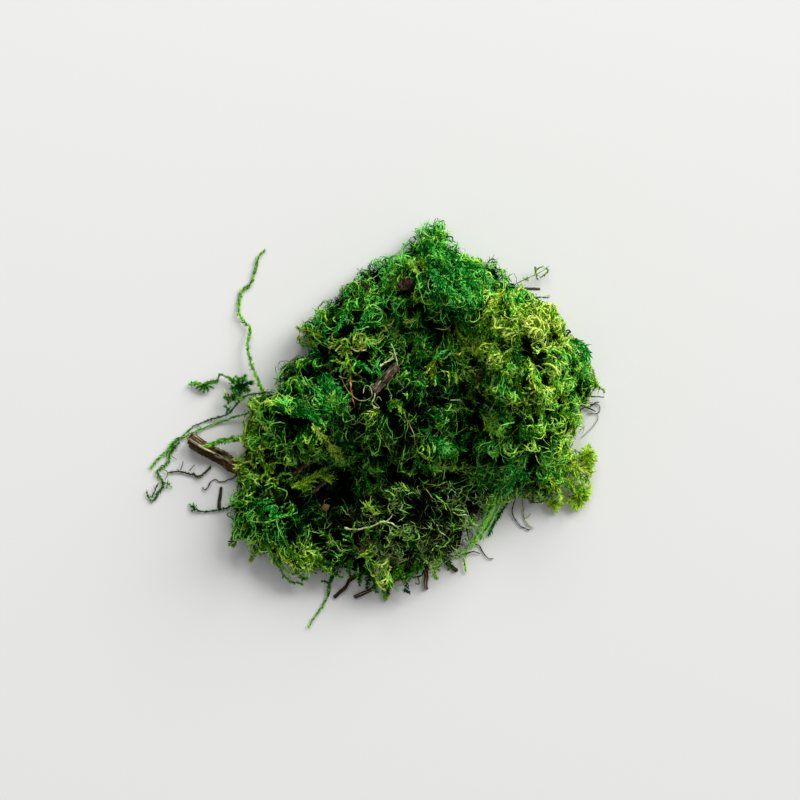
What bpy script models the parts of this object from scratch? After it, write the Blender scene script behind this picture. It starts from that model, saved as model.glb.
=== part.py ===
"""Moss clump: a torn handful of dyed, dried moss that lies on a table.

A lumpy mat of moss with a flat underside, the runners, shoots and fronds that
straggle out of it, and the twigs, bark and threads that are caught in it.
Metres, +Z up, origin at the middle of the flat underside.
"""

import math

import bmesh
import bpy
import numpy as np
from mathutils import Vector, geometry, noise
from mathutils.bvhtree import BVHTree

MM = 0.001

# ---------------------------------------------------------------- driving dimensions (mm)

GAP = 0.35  # kept between neighbouring pieces
FLOOR_GAP = 0.15  # under a strand that lies on the table
POINT_PITCH = 2.75  # between the mat's surface points
RIM_PITCH = 3.0  # along the mat's edge
BASE_PITCH = 14.0  # between the points of the flat underside
RIM_HEIGHT = 5.5  # how high the loose edge hangs over the table
RIM_UNDERCUT = 3.2  # how far the flat underside stays inside the edge
RIM_RAGGEDNESS = 2.0
RAGGED_SIZE = 3.6
EDGE_REACH = 25.0  # how far in from the edge the mat gets its full height
EDGE_POWER = 0.72

ROOT_SHARE = 0.5  # the part of a strand, from its root, that may pass close to its neighbours
ROOT_SLIMNESS = 0.55  # how slim it is there

LOCK_SPACING = 10.5
LOCK_LENGTH = 19.0
LOCK_WIDTH = 9.5
LOCK_HEIGHT = 4.6
LOCK_SEED = 11
FINE_LUMP_SIZE = 4.5
FINE_LUMP_HEIGHT = 0.9
SPRIG_OUTLINE = (  # how far the upper sprig spreads, against the share of its stem
    (0.0, 0.08, 0.13, 0.19, 0.27, 0.34, 0.5, 0.6, 0.75, 0.9, 1.0),
    (0.4, 0.5, 1.4, 2.9, 2.4, 0.7, 0.55, 1.3, 1.9, 0.9, 0.4),
)

# The edge of the mat as seen from above, clockwise from its far tip.
MAT_EDGE = (
    (9.5, 76.5), (13.5, 72.0), (15.5, 68.0), (22.0, 64.5), (32.0, 60.0), (42.0, 53.5),
    (49.0, 46.5), (56.5, 41.5), (62.0, 32.0), (69.0, 21.0), (72.5, 12.0), (68.0, 4.0),
    (65.0, -5.0), (62.0, -15.0), (59.5, -26.0), (53.0, -33.0), (46.5, -31.0), (37.0, -33.5),
    (28.5, -38.5), (23.5, -44.5), (21.0, -54.0), (9.5, -60.5), (0.0, -65.0), (-10.5, -69.5),
    (-23.0, -64.0), (-34.0, -62.0), (-46.0, -63.5), (-59.0, -56.0), (-70.5, -46.0),
    (-71.0, -33.0), (-68.0, -15.0), (-65.0, 2.0), (-60.5, 9.0), (-53.5, 14.5), (-51.5, 20.5),
    (-43.5, 27.0), (-43.0, 36.0), (-29.0, 49.0), (-17.0, 59.5), (-6.0, 64.5), (1.0, 71.0),
)

# Cushions of the mat: middle x, y, height, half length, half width, turn in degrees.
CUSHIONS = (
    (9.0, 48.0, 49.0, 23.0, 18.0, -70.0),  # far peak
    (42.0, 24.0, 52.0, 24.0, 20.0, 35.0),  # right mound
    (-28.0, 34.0, 38.0, 25.0, 15.0, 42.0),  # far left shoulder
    (-8.0, 4.0, 43.0, 27.0, 23.0, 0.0),  # middle
    (43.0, -4.0, 42.0, 19.0, 19.0, 0.0),  # near side of the right mound
    (-47.0, 0.0, 36.0, 17.0, 18.0, 0.0),  # left lobe
    (-54.0, -37.0, 29.0, 16.0, 16.0, 0.0),  # near left lobe
    (4.0, -36.0, 28.0, 29.0, 16.0, 0.0),  # low near mat
    (-22.0, -55.0, 14.0, 28.0, 10.0, 0.0),  # near fringe
    (46.0, -22.0, 20.0, 15.0, 10.0, 10.0),  # near right skirt
)
FLOOR_OF_MAT = 16.0
CUSHION_BLEND = 6.0
CUSHION_FULLNESS = 1.35

# Creases and hollows: middle x, y, depth share, half length, half width, turn in degrees.
HOLLOWS = (
    (17.5, 32.0, 0.30, 17.0, 6.0, -24.0),  # crease between peak and right mound
    (24.0, 8.0, 0.20, 6.0, 16.0, -10.0),  # shade down the near side of the right mound
    (-32.0, -32.0, 0.52, 15.0, 9.5, 15.0),  # dark hollow
    (-45.0, -19.5, 0.28, 13.0, 6.0, 30.0),  # gap between the two left lobes
    (-22.0, 19.0, 0.12, 8.0, 8.0, 0.0),
    (-42.0, -44.0, 0.25, 9.0, 7.0, 0.0),
)

# Where a twig or a piece of bark lies in the moss: middle x, y, depth, half length, half width, turn.
NESTS = (
    (-10.6, 15.3, 3.4, 6.0, 3.6, 45.0),
    (-42.9, -19.1, 1.6, 4.5, 3.0, 40.0),
    (-36.3, -26.9, 1.4, 4.0, 3.0, 38.0),
    (-2.6, 51.3, 1.6, 4.0, 4.0, 0.0),
    (-18.4, 52.2, 1.2, 3.0, 3.0, 0.0),
)

# ---------------------------------------------------------------- finishes (sRGB, roughness)

FINISHES = {
    "moss_green": ("#2F6B1C", 0.85),
    "bright_green": ("#4C9A28", 0.8),
    "deep_green": ("#1F5A14", 0.85),
    "lime_green": ("#8DBB3C", 0.8),
    "olive_green": ("#6E7B2E", 0.85),
    "bark_brown": ("#594B33", 0.9),
    "dark_bark": ("#2E261B", 0.9),
    "red_stem": ("#6B3A24", 0.8),
    "pale_stem": ("#C9C49A", 0.75),
    "seed_tan": ("#A98A55", 0.6),
}


def linear(channel):
    """One sRGB channel, 0 to 1, as linear light."""
    return channel / 12.92 if channel <= 0.04045 else ((channel + 0.055) / 1.055) ** 2.4


def finish(name):
    """The Principled material of that name, made on its first use."""
    made = bpy.data.materials.get(name)
    if made:
        return made
    colour, roughness = FINISHES[name]
    channels = [int(colour[i : i + 2], 16) / 255 for i in (1, 3, 5)]
    made = bpy.data.materials.new(name)
    made.use_nodes = True
    shader = made.node_tree.nodes["Principled BSDF"]
    shader.inputs["Base Color"].default_value = (*map(linear, channels), 1.0)
    shader.inputs["Roughness"].default_value = roughness
    shader.inputs["Metallic"].default_value = 0.0
    return made


def add_object(name, points, faces, finish_name, smooth=True):
    """A closed mesh, given in millimetres, as an object in the scene."""
    mesh = bpy.data.meshes.new(name)
    mesh.from_pydata([tuple(c * MM for c in p) for p in points], [], faces)
    shaped = bmesh.new()
    shaped.from_mesh(mesh)
    bmesh.ops.recalc_face_normals(shaped, faces=shaped.faces)
    shaped.to_mesh(mesh)
    shaped.free()
    if smooth:
        mesh.shade_smooth()
    mesh.materials.append(finish(finish_name))
    made = bpy.data.objects.new(name, mesh)
    bpy.context.scene.collection.objects.link(made)
    return made


def surface_of(piece):
    """A search tree over the faces of a piece, in millimetres."""
    points = [v.co / MM for v in piece.data.vertices]
    faces = [tuple(p.vertices) for p in piece.data.polygons]
    return BVHTree.FromPolygons(points, faces)


# ---------------------------------------------------------------- curves


def spline(points, pitch, closed=False):
    """Points about one pitch apart on the smooth curve through the given ones."""
    given = np.array(points, float)
    count = len(given)
    if closed:
        padded = np.vstack([given[-1:], given, given[:2]])
    else:
        before = 2 * given[0] - given[1]
        after = 2 * given[-1] - given[-2]
        padded = np.vstack([before, given, after])
        count -= 1
    t = np.linspace(0, 1, 16, endpoint=False)[:, None]
    runs = []
    for i in range(count):
        a, b, c, d = padded[i : i + 4]
        runs.append(
            0.5 * (2 * b + (c - a) * t + (2 * a - 5 * b + 4 * c - d) * t**2
                   + (3 * b - a - 3 * c + d) * t**3)
        )
    fine = np.vstack(runs + [given[:1] if closed else given[-1:]])
    along = np.concatenate([[0], np.cumsum(np.linalg.norm(np.diff(fine, axis=0), axis=1))])
    steps = max(2, round(along[-1] / pitch))
    wanted = np.linspace(0, along[-1], steps + 1)
    placed = np.stack([np.interp(wanted, along, axis) for axis in fine.T], axis=1)
    return placed[:-1] if closed else placed


def outward(ring):
    """The outward direction at each point of a clockwise ring."""
    ahead = np.roll(ring, -1, axis=0) - np.roll(ring, 1, axis=0)
    side = np.stack([-ahead[:, 1], ahead[:, 0]], axis=1)
    return side / np.linalg.norm(side, axis=1)[:, None]


def edge_distance(points, ring):
    """How far each point lies from a closed ring."""
    start = ring[None, :, :]
    run = (np.roll(ring, -1, axis=0) - ring)[None, :, :]
    reach = points[:, None, :] - start
    share = np.clip((reach * run).sum(2) / (run**2).sum(2), 0, 1)
    return np.linalg.norm(reach - share[:, :, None] * run, axis=2).min(axis=1)


def inside(points, ring):
    """Whether each point lies inside a closed ring."""
    x, y = points[:, 0, None], points[:, 1, None]
    x0, y0 = ring.T
    x1, y1 = np.roll(ring, -1, axis=0).T
    rise = np.where(y1 == y0, 1e-9, y1 - y0)
    crossed = ((y0 > y) != (y1 > y)) & (x < (x1 - x0) * (y - y0) / rise + x0)
    return crossed.sum(axis=1) % 2 == 1


def lattice(ring, pitch, clear):
    """Points in staggered rows inside a ring, no nearer to it than clear."""
    low, high = ring.min(axis=0), ring.max(axis=0)
    row_pitch = pitch * math.sqrt(3) / 2
    rows = [
        (x + (row % 2) * pitch / 2, y)
        for row, y in enumerate(np.arange(low[1], high[1], row_pitch))
        for x in np.arange(low[0], high[0], pitch)
    ]
    points = np.array(rows)
    return points[inside(points, ring) & (edge_distance(points, ring) > clear)]


# ---------------------------------------------------------------- the mat


def swell(points, x, y, half_length, half_width, turn):
    """How near each point is to the middle of an oval, from 1 there down to 0."""
    angle = math.radians(turn)
    away = points - np.array([x, y])
    along = away @ np.array([math.cos(angle), math.sin(angle)])
    across = away @ np.array([-math.sin(angle), math.cos(angle)])
    return np.exp(-0.5 * ((along / half_length) ** 2 + (across / half_width) ** 2))


def cushion(points, x, y, height, *oval):
    """A rounded cushion, fuller than a plain bell."""
    near = np.log(np.maximum(swell(points, x, y, *oval), 1e-12))
    return height * np.exp(-0.5 * (-2 * near) ** CUSHION_FULLNESS)


def mat_height(points, ring):
    """Height of the mat's smooth form over points inside its edge."""
    tops = np.full(len(points), FLOOR_OF_MAT**CUSHION_BLEND)
    for placed in CUSHIONS:
        tops += cushion(points, *placed) ** CUSHION_BLEND
    height = tops ** (1 / CUSHION_BLEND)
    for x, y, depth, *oval in HOLLOWS:
        height *= 1 - depth * swell(points, x, y, *oval)
    inward = np.clip(edge_distance(points, ring) / EDGE_REACH, 0, 1)
    rise = np.sin(inward * math.pi / 2) ** EDGE_POWER
    return RIM_HEIGHT + np.maximum(height - RIM_HEIGHT, 0) * rise


def mat_normals(points, ring):
    """Direction that the mat's smooth form faces at each point."""
    step = 1.0
    slopes = []
    for shift in np.eye(2) * step:
        rise = mat_height(points + shift, ring) - mat_height(points - shift, ring)
        slopes.append(-rise / (2 * step))
    normals = np.stack([*slopes, np.ones(len(points))], axis=1)
    return normals / np.linalg.norm(normals, axis=1)[:, None]


def scattered(ring, spacing, rng):
    """Points at random inside a ring, no two nearer than spacing."""
    low, high = ring.min(axis=0), ring.max(axis=0)
    tries = rng.uniform(low, high, (4000, 2))
    tries = tries[inside(tries, ring)]
    kept = tries[:1]
    for point in tries[1:]:
        if np.linalg.norm(kept - point, axis=1).min() > spacing:
            kept = np.vstack([kept, point])
    return kept


def lock_relief(points, ring):
    """How far the overlapping locks of moss stand out over each point."""
    rng = np.random.default_rng(LOCK_SEED)
    roots = scattered(ring, LOCK_SPACING, rng)
    downhill = mat_normals(roots, ring)[:, :2]
    headings = np.arctan2(downhill[:, 1], downhill[:, 0]) + rng.normal(0, 0.45, len(roots))
    sizes = rng.uniform(0.8, 1.2, len(roots))
    relief = np.zeros(len(points))
    for root, heading, size in zip(roots, headings, sizes):
        away = (points - root) / size
        along = (away @ np.array([math.cos(heading), math.sin(heading)])) / LOCK_LENGTH + 0.5
        across = (away @ np.array([-math.sin(heading), math.cos(heading)])) / (LOCK_WIDTH / 2)
        rising = np.clip(along / 0.7, 0, 1) ** 0.8
        falling = np.clip((1 - along) / 0.18, 0, 1)
        crown = np.clip(1 - across**2, 0, 1)
        held = (along > 0) & (along < 1)
        relief = np.maximum(relief, LOCK_HEIGHT * size * rising * falling * crown * held)
    return relief


def fine_relief(points):
    """Small uneven lumps all over the mat."""
    return np.array(
        [FINE_LUMP_HEIGHT * noise.noise(Vector((*p, 0)) / FINE_LUMP_SIZE) for p in points]
    )


def build_mat():
    """The whole tangled mat: one closed lumpy body with a flat underside."""
    ring = spline(MAT_EDGE, RIM_PITCH, closed=True)
    facing = outward(ring)
    ragged = np.array([noise.noise(Vector((*p, 7.0)) / RAGGED_SIZE) for p in ring])
    edge = ring + facing * (ragged * RIM_RAGGEDNESS)[:, None]
    count = len(edge)

    field = lattice(edge, POINT_PITCH, POINT_PITCH * 0.62)
    field += np.random.default_rng(LOCK_SEED).uniform(-0.25, 0.25, field.shape)
    flat = np.vstack([edge, field])
    found = geometry.delaunay_2d_cdt(
        [Vector(p) for p in flat], [], [list(range(count))], 1, 1e-6
    )
    top_faces = [tuple(face) for face in found[2]]

    height = mat_height(field, ring)
    relief = lock_relief(field, ring) + fine_relief(field) - 0.45 * LOCK_HEIGHT
    for x, y, depth, *oval in NESTS:
        nested = swell(field, x, y, *oval)
        relief = relief * (1 - nested) - depth * nested
    near_edge = np.clip(edge_distance(field, ring) / 9.0, 0, 1)
    moved = mat_normals(field, ring) * (relief * near_edge)[:, None]
    raised = np.column_stack([field, height]) + moved
    lips = RIM_HEIGHT + 1.2 * ragged
    rim = np.column_stack([edge, lips])
    points = [tuple(p) for p in np.vstack([rim, raised])]

    under = ring - facing * RIM_UNDERCUT
    waist = ring - facing * (0.3 * RIM_UNDERCUT)
    waist_start = len(points)
    points += [(x, y, 0.4 * RIM_HEIGHT) for x, y in waist]
    base_start = len(points)
    base_flat = np.vstack([under, lattice(under, BASE_PITCH, BASE_PITCH * 0.5)])
    points += [(x, y, 0.0) for x, y in base_flat]
    base = geometry.delaunay_2d_cdt(
        [Vector(p) for p in base_flat], [], [list(range(count))], 1, 1e-6
    )
    faces = list(top_faces)
    faces += [tuple(base_start + i for i in reversed(face)) for face in base[2]]
    for upper, lower in ((0, waist_start), (waist_start, base_start)):
        for i in range(count):
            j = (i + 1) % count
            faces.append((upper + i, upper + j, lower + j, lower + i))
    return add_object("moss_mat", points, faces, "moss_green")


# ---------------------------------------------------------------- strands


def round_section(radius, sides=7, roughness=0.0, taper=0.0):
    """Rings of a round stick or thread, with uneven bark if it has any."""

    def ring(k, share):
        points = []
        for i in range(sides):
            angle = 2 * math.pi * (i + 0.5) / sides
            uneven = 1 + roughness * noise.noise(Vector((2.1 * i, 0.83 * k, radius)))
            reach = radius * uneven * (1 - taper * share)
            points.append((reach * math.cos(angle), reach * math.sin(angle), 0.0))
        return points

    return ring


def shoot_section(radius, leaf, tip_from=0.82):
    """Rings of a leafy shoot, whose leaf tips stand out left and right by turns."""

    def ring(k, share):
        slim = 1.0 if share < tip_from else 1 - 0.75 * (share - tip_from) / (1 - tip_from)
        grown = leaf * slim * min(1.0, share / 0.08)
        left = radius * slim + grown * (k % 2)
        right = radius * slim + grown * ((k + 1) % 2)
        core = radius * slim
        return [
            (right, 0.1 * core, 0.7 * grown * ((k + 1) % 2)),
            (0.5 * core, 0.8 * core, 0.0),
            (-0.5 * core, 0.8 * core, 0.0),
            (-left, 0.1 * core, 0.7 * grown * (k % 2)),
            (-0.5 * core, -0.8 * core, 0.0),
            (0.5 * core, -0.8 * core, 0.0),
        ]

    return ring


def frond_section(half_width, thickness, stalk=0.25, widest=0.45):
    """Rings of a flat feathery frond: a stalk, then vanes swept forward on both sides."""

    def ring(k, share):
        if share < stalk:
            spread = 0.18 * half_width
            sweep = 0.0
        else:
            run = (share - stalk) / (1 - stalk)
            form = math.sin(math.pi * min(1.0, 0.18 + 0.82 * run) ** (1 / (1 + widest)))
            tooth = 1.0 if k % 2 else 0.38
            spread = half_width * max(0.12, form * tooth)
            sweep = 0.45 * spread * (k % 2)
        return [
            (spread, -0.1 * thickness, sweep),
            (0.0, 0.5 * thickness, 0.0),
            (-spread, -0.1 * thickness, sweep),
            (0.0, -0.5 * thickness, 0.0),
        ]

    return ring


def ring_points(centre, heading, ring):
    """A ring's points in space: across the route, up, and forward along it."""
    forward = np.array([heading[0], heading[1], 0.0])
    side = np.array([heading[1], -heading[0], 0.0])
    up = np.array([0.0, 0.0, 1.0])
    return [centre + side * a + up * b + forward * c for a, b, c in ring]


def headings_of(path):
    """The level direction of travel at each point of a path."""
    ahead = np.gradient(path[:, :2], axis=0)
    return ahead / np.maximum(np.linalg.norm(ahead, axis=1), 1e-9)[:, None]


def loft(name, path, section, finish_name):
    """A closed strand along a path, skinned over its rings."""
    headings = headings_of(path)
    last = len(path) - 1
    rings = [
        ring_points(path[k], headings[k], section(k, k / last)) for k in range(last + 1)
    ]
    sides = len(rings[0])
    points = [p for ring in rings for p in ring]
    faces = []
    for k in range(last):
        for i in range(sides):
            j = (i + 1) % sides
            a, b = k * sides, (k + 1) * sides
            faces.append((a + i, a + j, b + j, b + i))
    faces.append(tuple(reversed(range(sides))))
    faces.append(tuple(last * sides + i for i in range(sides)))
    return add_object(name, points, faces, finish_name)


def highest_under(around, x, y):
    """Height of the topmost of these surfaces at a place, or the table's where there is none."""
    above, down = Vector((x, y, 200.0)), Vector((0.0, 0.0, -1.0))
    hits = [tree.ray_cast(above, down)[0] for tree in around]
    return max([hit.z for hit in hits if hit] + [0.0])


def lying_heights(path, section, around, stiff):
    """Heights that lay a strand on what is under it, clear of it by the gap."""
    headings = headings_of(path)
    last = len(path) - 1
    needed = []
    for k in range(last + 1):
        ring = section(k, k / last)
        ring.append((0.0, min(up for _, up, _ in ring), 0.0))
        placed = ring_points(np.array([*path[k, :2], 0.0]), headings[k], ring)
        needed.append(max(highest_under(around, p[0], p[1]) - p[2] for p in placed) + GAP)
    padded = np.pad(needed, 1, mode="edge")
    widened = np.maximum(padded[1:-1], np.maximum(padded[:-2], padded[2:]))
    if not stiff:
        return widened
    level = np.linspace(widened[0], widened[-1], last + 1)
    return level + max(0.0, (widened - level).max())


def lay(around, name, route, section, finish_name, pitch=1.6, stiff=False):
    """A strand that lies on top of the mat and of what was laid there before it."""
    path = spline(route, pitch)
    heights = lying_heights(path, section, around, stiff)
    made = loft(name, np.column_stack([path, heights]), section, finish_name)
    around.append(surface_of(made))


def grow(around, name, route, section, finish_name, reach, root=0.0, tip=0.0, pitch=1.5):
    """A strand that comes out of the mat, or out of another, and ends over the table.

    The route starts inside what it grows from, and is cut back there until it is
    clear of everything. Its height falls from root to tip, but not below the table.
    """
    path = spline(route, pitch / 4)
    share = np.linspace(0, 1, len(path))
    heights = np.maximum(reach + FLOOR_GAP, tip + (root - tip) * (1 - share) ** 2)
    path = np.column_stack([path, heights])
    start = 0
    for k in reversed(range(len(path))):
        nearest = min(tree.find_nearest(Vector(path[k]))[3] for tree in around)
        if nearest < reach * (1.0 if k > ROOT_SHARE * len(path) else ROOT_SLIMNESS) + GAP:
            start = k + 1
            break
    kept = path[start:]
    steps = max(2, round(len(kept) / 4))
    picked = kept[np.linspace(0, len(kept) - 1, steps + 1).round().astype(int)]
    around.append(surface_of(loft(name, picked, section, finish_name)))


def lay_chip(around, name, x, y, outline, thickness, turn, finish_name, lean=(0.0, 0.0)):
    """A flat chip with an uneven outline that lies on the mat."""
    cos, sin = math.cos(math.radians(turn)), math.sin(math.radians(turn))
    turned = [(x + a * cos - b * sin, y + a * sin + b * cos) for a, b in outline]
    slant = [lean[0] * (px - x) + lean[1] * (py - y) for px, py in turned]
    samples = [(px, py, s) for (px, py), s in zip(turned, slant)]
    samples += [((px + x) / 2, (py + y) / 2, s / 2) for px, py, s in samples]
    samples.append((x, y, 0.0))
    bottom = max(highest_under(around, px, py) - s for px, py, s in samples) + GAP
    count = len(turned)
    points = [(px, py, bottom + s) for (px, py), s in zip(turned, slant)]
    points += [
        (x + 0.9 * (px - x), y + 0.9 * (py - y), bottom + s + thickness)
        for (px, py), s in zip(turned, slant)
    ]
    faces = [tuple(reversed(range(count))), tuple(range(count, 2 * count))]
    faces += [(i, (i + 1) % count, count + (i + 1) % count, count + i) for i in range(count)]
    around.append(surface_of(add_object(name, points, faces, finish_name, smooth=False)))


# ---------------------------------------------------------------- twigs and bark


def build_dead_twig(around):
    """The bark-covered twig that sticks out on the left, with a slanting torn end."""
    radius = 2.6
    bark = round_section(radius, sides=9, roughness=0.22)

    def torn(k, share):
        ring = bark(k, share)
        if share < 1:
            return ring
        return [(0.75 * a, 0.75 * b, 0.5 * b - 0.9 * a) for a, b, _ in ring]

    route = ((-59.0, -25.5), (-66.0, -21.8), (-75.9, -16.0), (-83.0, -12.0), (-90.0, -7.9))
    grow(around, "dead_twig", route, torn, "bark_brown", 2.9, pitch=2.0)


def build_caught_twigs(around):
    """Sticks, stems and bark that are caught in the top of the mat."""
    lay(around, "bark_twig", ((-5.9, 20.6), (-10.8, 15.1), (-15.4, 10.0)),
        round_section(1.75, sides=8, roughness=0.2), "bark_brown", pitch=2.2, stiff=True)
    lay(around, "brown_twig", ((-46.8, -22.3), (-42.8, -19.2), (-39.0, -15.8)),
        round_section(1.0, sides=6, roughness=0.2), "bark_brown", pitch=2.2, stiff=True)
    lay(around, "grey_stick", ((-39.7, -29.6), (-36.2, -26.9), (-33.0, -24.2)),
        round_section(0.9, sides=6, roughness=0.15), "dark_bark", pitch=2.2, stiff=True)
    lay(around, "red_stem", ((-23.8, 22.6), (-23.9, 16.3), (-23.4, 10.6), (-22.0, 4.2)),
        round_section(0.45, sides=5, roughness=0.1), "red_stem", pitch=1.8)
    flake = ((3.4, 0.3), (2.1, 2.1), (-0.4, 2.4), (-3.0, 1.5), (-3.3, -0.9), (-1.0, -2.3), (2.2, -1.8))
    lay_chip(around, "bark_flake", -2.6, 51.3, flake, 0.8, 20.0, "dark_bark", lean=(0.15, 0.1))
    chip = ((2.2, 0.2), (1.0, 1.1), (-1.6, 1.0), (-2.3, -0.3), (-0.6, -1.2), (1.5, -0.9))
    lay_chip(around, "bark_chip", -18.4, 52.2, chip, 0.7, -35.0, "dark_bark")


# ---------------------------------------------------------------- threads and fronds on top


def build_threads(around):
    """Bare stems, threads and a seed husk that lie over the moss."""
    thread = round_section(0.4, sides=5)
    lay(around, "knobbed_stem", ((-12.6, 20.2), (-9.7, 21.9), (-6.9, 23.2)),
        round_section(0.75, sides=5, roughness=0.5), "pale_stem", pitch=1.2)
    lay(around, "pale_stem",
        ((-26.5, -43.1), (-23.0, -43.6), (-19.5, -43.1), (-15.2, -41.9), (-12.5, -40.4),
         (-8.7, -40.4), (-6.5, -41.8)),
        round_section(0.5, sides=5, roughness=0.15), "pale_stem")
    lay(around, "looped_thread",
        ((-18.8, 9.8), (-18.0, 12.6), (-16.0, 11.8), (-15.6, 8.4), (-19.0, 6.9), (-22.4, 8.4),
         (-26.3, 13.2), (-28.4, 19.7)),
        thread, "olive_green")
    lay(around, "yellow_strand",
        ((-23.9, 27.6), (-21.3, 25.9), (-18.1, 28.2), (-13.9, 29.2), (-10.8, 31.3)),
        thread, "lime_green")
    round_husk = round_section(1.5, sides=7)

    def husk(k, share):
        swell_here = 0.08 + 0.92 * math.sin(math.pi * share)
        return [(a * swell_here, 0.9 * b * swell_here, c) for a, b, c in round_husk(k, share)]

    lay(around, "seed_husk", ((-36.2, -36.2), (-34.5, -35.4), (-32.6, -34.4)), husk, "seed_tan",
        pitch=0.8, stiff=True)


def build_top_fronds(around):
    """Feathery fronds that stand out on top of the mat."""
    lay(around, "bright_frond", ((-37.0, 15.8), (-32.2, 11.8), (-28.8, 8.3), (-25.2, 3.6)),
        frond_section(2.6, 1.1, stalk=0.1), "bright_green", pitch=1.3)
    lay(around, "olive_frond", ((-38.4, -1.8), (-34.6, -6.9), (-30.4, -11.9), (-26.8, -18.0)),
        frond_section(2.3, 1.2, stalk=0.05), "lime_green", pitch=1.3)
    lay(around, "lime_frond", ((-47.5, -27.3), (-42.6, -25.6), (-38.3, -22.8), (-33.8, -19.9)),
        frond_section(1.7, 1.0, stalk=0.1), "lime_green", pitch=1.3)
    lay(around, "long_yellow_shoot", ((36.4, 50.6), (32.4, 46.6), (27.8, 40.6)),
        shoot_section(0.8, 0.6), "lime_green")


# ---------------------------------------------------------------- what straggles over the table


def sprig_section(k, share):
    """Rings of the upper sprig: a stalk, a bushy tuft, a bare bend and a feathery curl."""
    reach = np.interp(share, *SPRIG_OUTLINE) * (1.0 if k % 2 else 0.6)
    return [(reach, -0.1, 0.3 * reach), (0.0, 0.5, 0.0), (-reach, -0.1, 0.3 * reach), (0.0, -0.5, 0.0)]


def build_left_side(around):
    """The wavy runner, the forked runner, the upper sprig and the shoot over the twig."""
    grow(around, "wavy_runner",
         ((-53.4, 2.5), (-56.9, 7.0), (-60.1, 12.5), (-63.4, 20.0), (-65.0, 25.6), (-65.4, 29.9),
          (-64.6, 35.5), (-66.5, 37.9), (-69.0, 41.5), (-69.0, 45.9), (-68.0, 50.4),
          (-64.8, 53.2), (-62.6, 59.0), (-61.8, 63.2), (-58.9, 67.3)),
         shoot_section(0.5, 0.6), "bright_green", 0.7, root=9.0)
    grow(around, "forked_runner_stem",
         ((-54.6, 10.4), (-58.3, 9.8), (-62.9, 9.5), (-65.8, 8.9), (-68.6, 6.9), (-70.8, 4.4),
          (-73.1, 1.9), (-76.5, 0.5), (-80.0, -0.4), (-83.3, -1.6), (-87.1, -3.2), (-89.5, -5.3),
          (-91.9, -7.6)),
         shoot_section(0.5, 0.42, tip_from=2.0), "olive_green", 0.65, root=8.0, pitch=1.6)
    grow(around, "forked_runner_outer",
         ((-92.0, -7.6), (-93.8, -8.6), (-95.1, -9.6), (-96.8, -11.9), (-98.8, -14.2),
          (-101.7, -16.7), (-103.7, -19.3)),
         shoot_section(0.5, 0.65), "bright_green", 0.65, root=1.0, pitch=1.3)
    grow(around, "forked_runner_inner",
         ((-91.2, -7.8), (-92.6, -9.4), (-94.7, -11.4), (-96.2, -13.4), (-97.1, -16.2),
          (-98.0, -18.2), (-100.0, -19.9), (-101.7, -21.3), (-100.8, -23.6), (-99.4, -25.6),
          (-99.7, -27.6), (-101.4, -29.9), (-102.3, -32.1), (-103.7, -33.0), (-105.1, -31.9),
          (-105.7, -30.4)),
         shoot_section(0.45, 0.65), "olive_green", 0.6, root=1.0, pitch=1.3)
    grow(around, "parallel_shoot",
         ((-58.3, 6.4), (-61.5, 4.0), (-64.7, 2.2), (-68.6, 1.0), (-71.5, 0.3), (-74.0, -0.9),
          (-76.6, -1.7), (-80.1, -2.9), (-83.4, -4.1), (-86.3, -5.3)),
         shoot_section(0.36, 0.42), "bright_green", 0.6, root=7.0, pitch=1.4)
    grow(around, "upper_sprig",
         ((-68.3, 7.1), (-68.3, 9.6), (-68.6, 12.4), (-70.2, 14.1), (-72.3, 15.4), (-74.8, 16.9),
          (-76.6, 17.5), (-77.4, 15.5), (-79.4, 14.3), (-81.7, 13.6), (-83.9, 13.2),
          (-86.2, 13.7), (-89.0, 13.5)),
         sprig_section, "bright_green", 0.7, root=4.6, tip=1.4, pitch=1.1)
    grow(around, "shoot_over_twig",
         ((-57.0, -6.0), (-63.5, -7.0), (-67.9, -7.9), (-71.5, -8.3), (-76.5, -9.4), (-81.8, -11.0)),
         shoot_section(0.6, 0.7), "bright_green", 0.75, root=13.0, tip=6.4, pitch=1.4)


def build_near_left_bits(around):
    """Short sprigs and stems that lie beside the dead twig."""
    grow(around, "thorny_sprig",
         ((-80.2, -19.1), (-83.0, -22.1), (-85.6, -23.3), (-87.4, -22.6), (-89.7, -22.2),
          (-92.6, -21.4), (-96.8, -21.6)),
         shoot_section(0.5, 0.9), "olive_green", 0.75, pitch=1.3)
    grow(around, "brown_stem",
         ((-67.0, -20.7), (-70.6, -23.3), (-74.2, -25.1), (-77.0, -25.3), (-79.2, -24.7),
          (-80.8, -25.8), (-82.3, -28.7), (-84.0, -27.5)),
         round_section(0.36, sides=5, roughness=0.2), "bark_brown", 0.45, pitch=1.6)
    grow(around, "near_left_sprig",
         ((-70.2, -33.9), (-73.8, -35.9), (-77.2, -36.6), (-80.1, -37.2), (-82.9, -37.4),
          (-85.6, -36.9), (-87.8, -35.5)),
         shoot_section(0.45, 0.6), "deep_green", 0.65, pitch=1.3)
    grow(around, "black_stick",
         ((-76.9, -36.7), (-77.1, -34.4), (-76.8, -31.9), (-76.5, -29.5), (-76.3, -27.3)),
         round_section(0.55, sides=5, roughness=0.25), "dark_bark", 0.62, pitch=1.6)


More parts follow.
